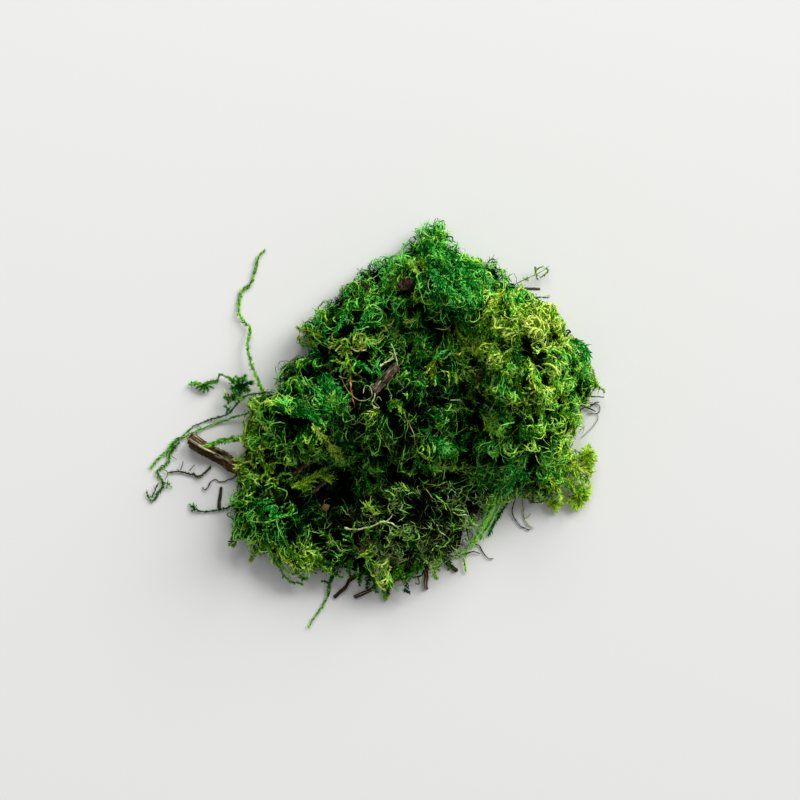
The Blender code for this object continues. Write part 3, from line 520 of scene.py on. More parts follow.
def flow(points, normals, rng, spread):
    """Headings that fall away from the nearest tops, each turned by chance."""
    heading = np.zeros((len(points), 3))
    for x, y, reach in TOPS:
        away = points[:, :2] - (x, y)
        gap = np.linalg.norm(away, axis=1)
        weight = np.exp(-((gap / reach) ** 2)) + 1e-6
        heading[:, :2] += away / (gap[:, None] + 4) * weight[:, None]
    heading[:, 2] -= 0.2 * np.linalg.norm(heading[:, :2], axis=1)
    heading += rng.normal(0, 0.02, heading.shape)
    heading = unit(heading - normals * (heading * normals).sum(1)[:, None])
    side = np.cross(normals, heading)
    angle = rng.normal(0, spread, len(points))[:, None]
    return heading * np.cos(angle) + side * np.sin(angle)


# ---------------------------------------------------------------- leaves, stems and pieces


def along(values, share):
    """Values (n, k, 3) or (n, k) read at shares (n, m) of their length."""
    last = values.shape[1] - 1
    place = np.clip(share, 0, 1) * last
    low = np.minimum(place.astype(int), last - 1)
    rest = place - low
    if values.ndim == 3:
        rest = rest[..., None]
    rows = np.arange(len(values))[:, None]
    return values[rows, low] * (1 - rest) + values[rows, low + 1] * rest


def run_along(values, paths):
    """One value for each path (n,) as a value for each of its points (n, k)."""
    return values if values.ndim == 2 else values[:, None] * np.ones(paths.shape[:2])


def frames_of(paths, ups):
    """Heading, side and up at every point of every path."""
    heading = unit(np.gradient(paths, axis=1))
    side = unit(np.cross(ups, heading))
    return heading, side, np.cross(heading, side)


HUE_WIDTH = 0.016  # how far the hue runs from a leaf's middle to its edge

# Leaf forms: shares of the length and width of each row of points, and the triangles.
# An awl is one flat point, a kite is folded along its midrib, and a blade is longer and bends.
LEAF_FORMS = {
    "awl": (np.array([(0, 1, 2)]), ((0.0, -1), (0.0, 1), (1.0, 0))),
    "kite": (np.array([(0, 3, 1), (0, 2, 3)]), ((0.0, 0), (0.45, -1), (0.45, 1), (1.0, 0))),
    "blade": (
        np.array([(0, 2, 1), (0, 3, 2), (1, 2, 4), (2, 3, 4)]),
        ((0.0, 0), (0.42, -1), (0.42, 0), (0.42, 1), (1.0, 0)),
    ),
}


def many(points, faces, places):
    """Points (n, k, 3), the triangles of one part, and map places (n, k, 2), as one set of n parts."""
    points = points.reshape(len(points), -1, 3)
    offsets = (np.arange(len(points)) * points.shape[1])[:, None, None]
    return points.reshape(-1, 3), (faces[None] + offsets).reshape(-1, 3), places.reshape(-1, 2)


def halves(a, b, c, d):
    """The two triangles of every four-cornered face."""
    return np.concatenate([np.stack([a, b, c], -1).reshape(-1, 3), np.stack([a, c, d], -1).reshape(-1, 3)])


def leaves(base, heading, side, up, length, width, bend, curl, hue, tone, form):
    """Leaves of one form. All arguments hold one row or number for each leaf."""
    faces, corners = LEAF_FORMS[form]
    length, width, bend = length[:, None], width[:, None], bend[:, None]
    rows, places = [], []
    for share, edge in corners:
        middle = base + length * (heading * share + curl * bend * share * share / 2)
        ridge = up * (width * 0.2 * (1 - abs(edge))) if 0 < share < 1 or form == "kite" else 0
        rows.append(middle + side * (edge * width / 2) + ridge)
        # Painted shade and light: each leaf is drawn darker at its base and along its edges, and lighter towards its
        # tip.
        v = tone * (0.55 + 0.6 * share**0.6) * (1 - 0.3 * abs(edge) * (share > 0))
        places.append(np.stack([hue + (edge if edge or not share else 0.5) * HUE_WIDTH, v], -1))
    return many(np.stack(rows, 1), faces, np.stack(places, 1))


def tubes(paths, ups, radii, sides, hue, tone):
    """Round stems along paths (n, k, 3) with radii (n, k) and tones (n, k)."""
    steps = paths.shape[1]
    _, side, up = frames_of(paths, ups)
    turn = (np.arange(sides) + 0.5) * 2 * math.pi / sides
    ring = side[:, :, None] * np.cos(turn)[:, None] + up[:, :, None] * np.sin(turn)[:, None]
    points = paths[:, :, None] + ring * radii[:, :, None, None]
    # Painted light: the upper side of each stem is drawn lighter than its under side.
    lift = np.sin(turn) * 0.5 + 0.5
    v = tone[:, :, None] * (0.55 + 0.45 * lift)
    run = np.linspace(0, 0.05, steps)[:, None]
    u = run_along(hue, paths)[:, :, None] + run + 0.03 * np.cos(turn)
    places = np.stack([u * np.ones_like(v), v], -1)
    k, i = np.meshgrid(np.arange(steps - 1), np.arange(sides), indexing="ij")
    j = (i + 1) % sides
    faces = halves(k * sides + i, k * sides + j, (k + 1) * sides + j, (k + 1) * sides + i)
    return many(points, faces, places)


def chains(paths, ups, width, hue, tone, rng, roll=0.5):
    """Narrow shoots along paths (n, k, 3), pinched between their leaves, which stand out left and right in turn."""
    count, steps = paths.shape[:2]
    _, side, up = frames_of(paths, ups)
    share = np.linspace(0, 1, steps)[None, :, None]
    angle = rng.normal(0, roll, (count, 1, 1)) + (share - 0.5) * rng.normal(0, 1.6 * roll, (count, 1, 1))
    across = side * np.cos(angle) + up * np.sin(angle)
    odd = (np.arange(steps) % 2)[None, :, None]
    half = width[:, None, None] / 2 * (1 - 0.65 * share**3)
    left, right = half * np.where(odd, 1.15, 0.2), half * np.where(odd, 0.2, 1.15)
    points = np.stack([paths - across * left, paths + across * right], 2)
    grain = rng.uniform(0.65, 1.3, (count, steps, 1))
    v = tone[:, :, None] * grain * np.concatenate([np.where(odd, 1.15, 0.75), np.where(odd, 0.75, 1.15)], -1)
    u = run_along(hue, paths)[:, :, None] + np.array([-HUE_WIDTH, HUE_WIDTH])[None, None] + 0.02 * share
    places = np.stack([u * np.ones_like(v), v], -1)
    k = np.arange(steps - 1) * 2
    return many(points, halves(k, k + 1, k + 3, k + 2), places)


def feather(paths, ups, rows, leaf, width, hue, tone, rng, form="awl", openness=1.0, row_tilt=0.3, even=False):
    """Leaves in two ranks along each path. tone is (n, k) along the path."""
    count = len(paths)
    heading, side, up = frames_of(paths, ups)
    share = np.linspace(0.05, 0.99, rows)[None, :, None] + rng.normal(0, 0.3 / rows, (count, rows, 2))
    share = np.clip(share.reshape(count, -1), 0, 1)
    rank = np.tile([-1.0, 1.0], rows)[None] * np.ones((count, 1))
    base, t, s, n = (along(v, share) for v in (paths, heading, side, up))
    angle = np.radians(64 - 36 * share + rng.normal(0, 12, share.shape)) * openness
    lean = rng.normal(row_tilt, 0.4, share.shape)
    outward = s * (rank * np.cos(lean))[..., None] + n * np.sin(lean)[..., None]
    leaf_heading = t * np.cos(angle)[..., None] + outward * np.sin(angle)[..., None]
    across = unit(np.cross(n, leaf_heading))
    above = np.cross(leaf_heading, across)
    roll = rng.normal(0, 0.6, share.shape)[..., None]
    across, above = across * np.cos(roll) + above * np.sin(roll), above * np.cos(roll) - across * np.sin(roll)
    curl = unit(t * 0.7 - n * rng.uniform(-0.3, 0.9, share.shape)[..., None] + rng.normal(0, 0.35, base.shape))
    swell = 1.0 if even else 0.45 + 0.55 * np.sin(np.pi * np.clip(share * 0.95 + 0.12, 0, 1)) ** 0.8
    long = leaf[:, None] * swell * rng.uniform(0.7, 1.3, share.shape)
    wide = width[:, None] * rng.uniform(0.8, 1.2, share.shape) * (0.6 + 0.4 * swell)
    bend = rng.uniform(0.3, 1.5, share.shape)
    leaf_hue = along(run_along(hue, paths), share) + rng.normal(0, 0.06, share.shape)
    # One leaf in ten gets a painted highlight; about one in five is drawn darker at random.
    chance = rng.random(share.shape)
    spark = np.where(chance < 0.22, 0.5, np.where(chance > 0.9, 1.4, 1.0))
    leaf_tone = along(tone, share) * rng.uniform(0.7, 1.3, share.shape) * spark
    flat = [v.reshape(-1, 3) for v in (base, leaf_heading, across, above)]
    return leaves(
        *flat, long.ravel(), wide.ravel(), bend.ravel(), curl.reshape(-1, 3), leaf_hue.ravel(), leaf_tone.ravel(), form
    )


SIDE_STEPS = 6  # points along a side shoot
SPRAY_ROWS = 4  # pairs of leaves on a side shoot


def side_shoots(paths, ups, pairs, reach, first, rng):
    """Two ranks of side shoots along each path from first on: their paths, ups, shares and whose they are."""
    count = len(paths)
    heading, side, up = frames_of(paths, ups)
    gap = (1.0 - first) / pairs
    share = np.arange(pairs)[None, :, None] + np.array([0.0, 0.5]) + rng.normal(0, 0.12, (count, pairs, 2))
    share = np.clip((first + gap * share).reshape(count, -1), 0, 1)
    rank = np.tile([-1.0, 1.0], pairs)[None] * np.ones((count, 1))
    base, t, s, n = (along(v, share) for v in (paths, heading, side, up))
    place = (share - first) / (1.0 - first)
    swell = np.sin(np.pi * np.clip(place * 0.82 + 0.18, 0, 1)) ** 0.7 * 0.85 + 0.15
    far = along(reach, share) if reach.ndim == 2 else reach[:, None]
    size = (far * swell * rng.uniform(0.65, 1.25, share.shape))[..., None]
    turn = np.radians(54.0 - 16 * place + rng.normal(0, 9, share.shape))[..., None]
    rise = rng.normal(0.1, 0.25, share.shape)[..., None]
    out = unit(t * np.cos(turn) + s * rank[..., None] * np.sin(turn) + n * rise)
    curve = 0.4 * t - n * rng.uniform(0.0, 0.4, share.shape)[..., None] + rng.normal(0, 0.13, base.shape)
    q = np.linspace(0, 1, SIDE_STEPS)[None, None, :, None]
    made = base[:, :, None] + size[:, :, None] * (out[:, :, None] * q + curve[:, :, None] * q**2)
    total = made.shape[0] * made.shape[1]
    made_ups = np.repeat(n.reshape(total, 1, 3), SIDE_STEPS, 1)
    return made.reshape(total, SIDE_STEPS, 3), made_ups, share, np.repeat(np.arange(count), share.shape[1])


def sprays(paths, ups, pairs, reach, width, hue, tone, rng, first=0.06, leaf=None):
    """Fern-like fronds without their main stem: side shoots, with small leaves where a leaf length is given."""
    shoots, shoot_ups, share, owner = side_shoots(paths, ups, pairs, reach, first, rng)
    count = len(shoots)
    hues = np.clip(along(run_along(hue, paths), share).ravel() + rng.normal(0, 0.06, count), 0.03, 0.96)
    tones = along(tone, share).ravel() * rng.uniform(0.5, 1.3, count)
    ramp = tones[:, None] * np.linspace(0.7, 1.15, shoots.shape[1])[None]
    sizes_of = rng.uniform(0.8, 1.2, count)
    parts = [chains(shoots, shoot_ups, width[owner] * sizes_of, hues, ramp, rng)]
    if leaf is not None:
        long = leaf[owner] * sizes_of
        parts.append(feather(shoots, shoot_ups, SPRAY_ROWS, long, long * 0.42, hues, ramp, rng, "kite", 0.8, even=True))
    return parts


def join(parts):
    """Several sets of points, triangles and map places as one."""
    points, faces, places, start = [], [], [], 0
    for part_points, part_faces, part_places in parts:
        points.append(part_points)
        faces.append(part_faces + start)
        places.append(part_places)
        start += len(part_points)
    return np.concatenate(points), np.concatenate(faces), np.concatenate(places)


# How far everything, and the litter, stays off the floor, in millimetres.
FLOOR_CLEARANCE, LITTER_CLEARANCE = 0.12, 0.4


def make_piece(name, parts, material, nodes):
    """One joined mesh that rides on the object's body and stands for its solids."""
    points, faces, places = join(parts)
    points[:, 2] = np.maximum(points[:, 2], FLOOR_CLEARANCE)
    mesh = bpy.data.meshes.new(name)
    mesh.vertices.add(len(points))
    mesh.vertices.foreach_set("co", (points * MM).ravel())
    mesh.loops.add(len(faces) * 3)
    mesh.loops.foreach_set("vertex_index", faces.astype(np.int32).ravel())
    mesh.polygons.add(len(faces))
    mesh.polygons.foreach_set("loop_start", np.arange(0, len(faces) * 3, 3, dtype=np.int32))
    layer = mesh.uv_layers.new(name=UV_NAME)
    layer.uv.foreach_set("vector", np.clip(places, 0.004, 0.996)[faces].astype(np.float32).ravel())
    mesh.update(calc_edges=True)
    mesh.shade_smooth()
    mesh.materials.append(material)
    made = bpy.data.objects.new(name, mesh)
    bpy.context.scene.collection.objects.link(made)
    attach(made, "root")
    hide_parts(*nodes)
    return made


# ---------------------------------------------------------------- the mat

# What each kind's fronds are like: length, reach and width of the side shoots, their spacing (mm) and tone.
FRONDS_OF = {
    "emerald": (13.0, 2.9, 0.56, 1.25, 1.0),
    "leaf": (11.0, 2.6, 0.58, 1.3, 1.02),
    "yellow": (9.0, 2.2, 0.66, 1.3, 1.0),
    "inner": (11.0, 2.4, 0.5, 1.5, 0.76),
    "grey": (7.0, 1.8, 0.46, 1.4, 0.78),
    "lime": (10.0, 2.6, 0.7, 1.3, 1.15),
}
# The curly shoots of each kind: number, length, radius, leaf length (mm), tone and how much they curl.
CURLY_OF = {
    "emerald": (600, 8.5, 0.26, 0.9, 1.1, 0.25),
    "leaf": (720, 8.5, 0.28, 0.9, 1.16, 0.3),
    "yellow": (900, 8.0, 0.36, 1.0, 1.28, 0.42),
    "inner": (260, 9.0, 0.2, 0.8, 0.76, 0.3),
    "grey": (120, 5.0, 0.18, 0.7, 0.72, 0.3),
    "lime": (90, 7.0, 0.32, 1.0, 1.05, 0.4),
}
# The wiry shoots of each kind: number, length, width (mm), tone and how much they wander.
WIRY_OF = {
    "emerald": (1250, 11.5, 0.46, 1.12, 0.07),
    "leaf": (1500, 10.5, 0.44, 1.14, 0.11),
    "yellow": (600, 8.0, 0.5, 1.05, 0.2),
    "inner": (1700, 10.5, 0.4, 0.86, 0.14),
    "grey": (2900, 6.2, 0.34, 0.96, 0.2),
    "lime": (150, 7.0, 0.5, 1.0, 0.2),
}
# Slow changes over the mat, each with its width (mm) and its seed: the tufts and their gaps, the dye, the tone of the
# fronds and of the curly shoots, and the lumps and crumbs of the litter.
TUFTS, DYE_CHANGE, FROND_CHANGE, CURLY_CHANGE = (7.0, 77), (28, 5), (16, 8), (14, 18)
LITTER_LUMPS, LITTER_CRUMBS = (3.5, 12), (1.7, 13)
DEEP_STEPS, FROND_STEPS, CURLY_STEPS, WIRY_STEPS, THREAD_STEPS = 8, 8, 12, 12, 14  # points along each shoot
DEEP_ROWS, CURLY_ROWS = 11, 8  # pairs of leaves on each shoot
SHADE_LOW, SHADE_HIGH = -2.5, 1.2  # the heights (mm) where the shade is deepest and where it is gone
SHADE_LEAST = 0.11  # the tone left in the deepest shade

# Where each random draw starts. A kind, lock, thread, nest, strand, twig or bit adds its own number.
DEEP_SEED, FROND_PLACE_SEED, THREAD_SEED, FROND_SEED, CURLY_SEED, WIRY_SEED = 3, 21, 41, 100, 300, 400
STRAND_SEED, TWIG_SEED, BIT_SEED, LOCK_SEED, PALE_THREAD_SEED, FINE_THREAD_SEED, NEST_SEED = (
    500, 800, 900, 1100, 1200, 1250, 1300)


def clump_at(points):
    """How far into a tuft, 1, or a gap, -1, each place is."""
    return np.clip(slow_noise(points, *TUFTS), -1.2, 1.2)


def lifted(paths, ups, root, crest, tip, rng, sway=0.25):
    """Paths raised off the surface by root, crest and tip (n each, mm), and the tone left by their painted shade."""
    count, steps = paths.shape[:2]
    share = np.linspace(0, 1, steps)[None]
    bump = np.sin(np.pi * np.clip(share * 1.1, 0, 1))
    height = root[:, None] * (1 - share) ** 1.5 + crest[:, None] * bump + tip[:, None] * share**1.5
    dips = patch_strength(paths.reshape(-1, 3), "dark").reshape(count, steps)
    height = height + sizes().clump_height / MM * clump_at(paths) - 1.6 * dips
    waves = rng.normal(0, sway, (count, 2, 1)) * np.sin(
        share[:, None] * rng.uniform(4, 11, (count, 2, 1)) + rng.uniform(0, 6.3, (count, 2, 1))
    )
    _, side, _ = frames_of(paths, ups)
    made = paths + ups * (height + waves[:, 0])[..., None] + side * waves[:, 1][..., None]
    # Painted shade: the lower a point lies, the darker its tone.
    light = np.clip((height - SHADE_LOW) / (SHADE_HIGH - SHADE_LOW), 0, 1)
    light = light * light * (3 - 2 * light)
    thin = patch_strength(paths.reshape(-1, 3), "fringe").reshape(count, steps)
    bright = patch_strength(paths.reshape(-1, 3), "bright").reshape(count, steps)
    # Painted shade darkens the dark gaps, painted light lightens the thin fringe, and the bright patches are drawn
    # lighter.
    return made, (SHADE_LEAST + (1 - SHADE_LEAST) * light) * (1 - 0.4 * dips) * (1 + 0.8 * thin + 0.16 * bright)


def hues_at(points, rng, spread=0.13):
    """How warm the dye is at each place."""
    return np.clip(0.45 + 0.22 * slow_noise(points, *DYE_CHANGE) + rng.normal(0, spread, len(points)), 0.05, 0.93)


def made_finer(shaped, cuts, smooth):
    """The points, normals and triangles of a bmesh whose edges are cut and smoothed. It is used up."""
    bmesh.ops.subdivide_edges(shaped, edges=shaped.edges, cuts=cuts, use_grid_fill=True, smooth=smooth)
    bmesh.ops.triangulate(shaped, faces=shaped.faces)
    shaped.normal_update()
    shaped.verts.index_update()
    points = np.array([v.co for v in shaped.verts])
    normals = np.array([v.normal for v in shaped.verts])
    faces = np.array([[v.index for v in f.verts] for f in shaped.faces])
    shaped.free()
    return points, normals, faces


def litter_and_shade_parts():
    """The dense inside of the mat, a dark sheet under the gaps for painted shade: its own form, drawn in and crumbled.
    """
    mat = ground()
    normals = np.zeros_like(mat.points)
    for i in range(3):
        np.add.at(normals, mat.corners[:, i], mat.normals * mat.areas[:, None])
    normals = unit(normals)
    points = mat.points - normals * sizes().litter_depth / MM
    drawn = patch_strength(mat.points, "fringe") * sizes().fringe_depth / MM
    points[:, :2] -= normals[:, :2] * drawn[:, None]
    shaped = bmesh.new()
    for point in points:
        shaped.verts.new(point)
    shaped.verts.ensure_lookup_table()
    for corners in mat.corners:
        shaped.faces.new([shaped.verts[i] for i in corners])
    points, normals, faces = made_finer(shaped, 1, 0.2)
    relief = 0.7 * slow_noise(points, *LITTER_LUMPS) + 0.4 * slow_noise(points, *LITTER_CRUMBS)
    points += normals * relief[:, None]
    points[:, 2] = np.maximum(points[:, 2], LITTER_CLEARANCE)
    low, high = mat.points.min(0), mat.points.max(0)
    places = (points - low)[:, :2] / (high - low).max() * 0.98 + 0.01
    return [(points, faces, places)]


def run_over(points, normals, rng, turn, steps, length, least, most, curl, wander, free):
    """Paths over the mat from these places, least to most times length long, with at most a share of each off it."""
    count = len(points)
    headings = flow(points, normals, rng, turn)
    lengths = length * rng.uniform(least, most, count)
    curls = rng.normal(0, curl, count)
    return ground().follow(points, normals, headings, steps, lengths, curls, wander, rng.uniform(0, free, count), rng)


def deep_parts():
    """Shoots, dark with painted shade, that fill the mat behind the ones on top."""
    rng = np.random.default_rng(DEEP_SEED)
    points, normals = ground().scatter(sizes().deep_shoots, rng)
    kept = rng.random(len(points)) > 0.95 * patch_strength(points, "fringe")
    points, normals = points[kept], normals[kept]
    count = len(points)
    paths, ups = run_over(
        points, normals, rng, turn=0.9, steps=DEEP_STEPS, length=13, least=0.6, most=1.3, curl=0.06, wander=0.1,
        free=0.15,
    )
    paths, light = lifted(
        paths, ups, rng.uniform(-5, -3.5, count), rng.uniform(-2.6, -0.4, count), rng.uniform(-2.8, -1.0, count), rng
    )
    hue = rng.uniform(0.1, 0.9, count)
    # Painted shade: the deep shoots get half the tone of those on top, and a little more on the steep sides of the mat.
    rim = np.clip((0.45 - ups[..., 2]) / 0.45, 0, 1)
    tone = (light * 0.5 + 0.22 * rim) * rng.uniform(0.6, 1.4, (count, 1))
    leaf = rng.uniform(1.2, 2.4, count) * sizes().leaf_scale
    radii = 0.18 * rng.uniform(0.7, 1.3, (count, 1)) * np.linspace(1, 0.5, DEEP_STEPS)[None]
    return [feather(paths, ups, DEEP_ROWS, leaf, leaf * 0.26, hue, tone, rng), tubes(paths, ups, radii, 3, hue, tone)]


def frond_parts(kind):
    """The fronds of one kind that lie on top."""
    rng = np.random.default_rng(FROND_PLACE_SEED)
    points, normals = ground().scatter(sizes().fronds, rng)
    scores = np.stack([patch_strength(points, name) for name in KINDS], 1)
    holders = (scores + rng.gumbel(0, 0.3, scores.shape)).argmax(1)
    chance = rng.random(len(points))
    rng = kind_rng(FROND_SEED, kind)
    crowd = 0.68 + 0.45 * clump_at(points)
    crowd = crowd - 0.6 * patch_strength(points, "dark") - 0.7 * patch_strength(points, "fringe")
    mine = (holders == list(KINDS).index(kind)) & (chance < crowd)
    points, normals = points[mine], normals[mine]
    length, reach, width, spacing, tone = FRONDS_OF[kind]
    count = len(points)
    lengths = length * rng.uniform(0.55, 1.3, count)
    headings = flow(points, normals, rng, 0.5)
    free = rng.uniform(0.1, 0.35, count)
    paths, ups = ground().follow(
        points, normals, headings, FROND_STEPS, lengths, rng.normal(0, 0.05, count), 0.07, free, rng
    )
    rise = rng.random(count)
    paths, light = lifted(paths, ups, -3.5 + 2.0 * rise, -1.8 + 3.6 * rise, -2.2 + 3.0 * rise, rng, 0.35)
    hue = hues_at(points, rng)
    # Painted shade: fronds that lie lower are drawn darker.
    tones = light * (tone * (1 + 0.14 * slow_noise(points, *FROND_CHANGE)) * (0.55 + 0.6 * rise))[:, None]
    reaches, widths = reach * rng.uniform(0.6, 1.3, count), width * sizes().leaf_scale * rng.uniform(0.85, 1.2, count)
    parts = sprays(paths, ups, round(length / spacing), reaches, widths, hue, tones, rng)
    radii = np.linspace(0.24, 0.08, FROND_STEPS)[None] * rng.uniform(0.8, 1.3, (count, 1))
    parts.append(tubes(paths, ups, radii, 3, hue, tones * 0.8))
    return parts


def curly_parts(kind):
    """The curly shoots of one kind, with small close leaves, on top of the mat."""
    number, length, radius, leaf, tone, curl = CURLY_OF[kind]
    rng = kind_rng(CURLY_SEED, kind)
    points, normals = held_places(kind, int(number * sizes().curly_share), rng)
    count = len(points)
    lengths = length * rng.uniform(0.45, 1.5, count)
    headings = flow(points, normals, rng, 1.3 if curl > 0.35 else 0.7)
    paths, ups = ground().follow(
        points, normals, headings, CURLY_STEPS, lengths, rng.normal(0, curl, count), curl * 1.2,
        rng.uniform(0.0, 0.25, count), rng,
    )
    rise = rng.random(count)
    paths, light = lifted(paths, ups, -2.8 + 1.5 * rise, -0.6 + 2.8 * rise, -2.2 + 3.0 * rise, rng, 0.4)
    hue = np.clip(hues_at(points, rng, 0.16) + 0.05, 0.05, 0.93)
    tones = light * (tone * (1 + 0.12 * slow_noise(points, *CURLY_CHANGE)) * rng.uniform(0.48, 1.34, count))[:, None]
    tones = tones * np.where(np.arange(CURLY_STEPS) % 2, 1.25, 0.62)[None]
    knobs = rng.uniform(0.75, 1.35, (count, CURLY_STEPS))
    radii = radius * rng.uniform(0.7, 1.3, (count, 1)) * knobs * (1 - 0.7 * np.linspace(0, 1, CURLY_STEPS)[None] ** 3)
    size = 1.15 * leaf * sizes().leaf_scale * rng.uniform(0.75, 1.25, count)
    return [
        tubes(paths, ups, radii, 3, hue, tones),
        feather(paths, ups, CURLY_ROWS, size, size * 0.5, hue, tones * 1.05, rng, row_tilt=0.5, even=True),
    ]


def kind_rng(seed, kind):
    """The random numbers of one kind of moss."""
    return np.random.default_rng(seed + list(KINDS).index(kind))


def held_places(kind, number, rng):
    """Random places where this kind of moss holds."""
    points, normals = ground().scatter(number * 8, rng)
    held = patch_strength(points, kind) - 0.25 * patch_strength(points, "dark")
    kept = rng.random(len(points)) < held * (0.75 + 0.5 * clump_at(points)) - 0.55 * patch_strength(points, "fringe")
    return points[kept][:number], normals[kept][:number]


def wiry_parts(kind):
    """The thin wiry shoots of one kind, that run through all the rest."""
    number, length, width, tone, wander = WIRY_OF[kind]
    rng = kind_rng(WIRY_SEED, kind)
    points, normals = held_places(kind, int(number * sizes().wiry_share), rng)
    count = len(points)
    paths, ups = run_over(
        points, normals, rng, turn=0.7, steps=WIRY_STEPS, length=length, least=0.4, most=1.6, curl=wander,
        wander=wander * 1.3, free=0.3,
    )
    rise = rng.random(count)
    paths, light = lifted(paths, ups, -3.0 + 1.8 * rise, -1.4 + 3.2 * rise, -2.0 + 3.2 * rise, rng, 0.4)
    hue = np.clip(hues_at(points, rng, 0.2), 0.03, 0.95)
    tones = light * tone * rng.uniform(0.4, 1.4, (count, 1)) * np.linspace(0.8, 1.1, WIRY_STEPS)[None]
    return [chains(paths, ups, width * rng.uniform(0.7, 1.3, count), hue, tones, rng, 0.7)]


def thread_parts():
    """Bare stems that wander over the moss."""
    rng = np.random.default_rng(THREAD_SEED)
    points, normals = ground().scatter(sizes().threads, rng)
    count = len(points)
    paths, ups = run_over(
        points, normals, rng, turn=1.6, steps=THREAD_STEPS, length=12, least=0.4, most=1.5, curl=0.1, wander=0.16,
        free=0.2,
    )
    rise = rng.random(count)
    paths, light = lifted(paths, ups, -3.0 + 1.5 * rise, -1.0 + 2.6 * rise, -1.5 + 2.4 * rise, rng, 0.4)
    hue = rng.uniform(0.0, 0.5, count)
    tone = light * 0.7 * rng.uniform(0.5, 1.2, (count, 1)) * np.ones((1, THREAD_STEPS))
    radii = 0.12 * rng.uniform(0.7, 1.3, (count, 1)) * np.linspace(1, 0.6, THREAD_STEPS)[None]
    return [tubes(paths, ups, radii, 3, hue, tone)]


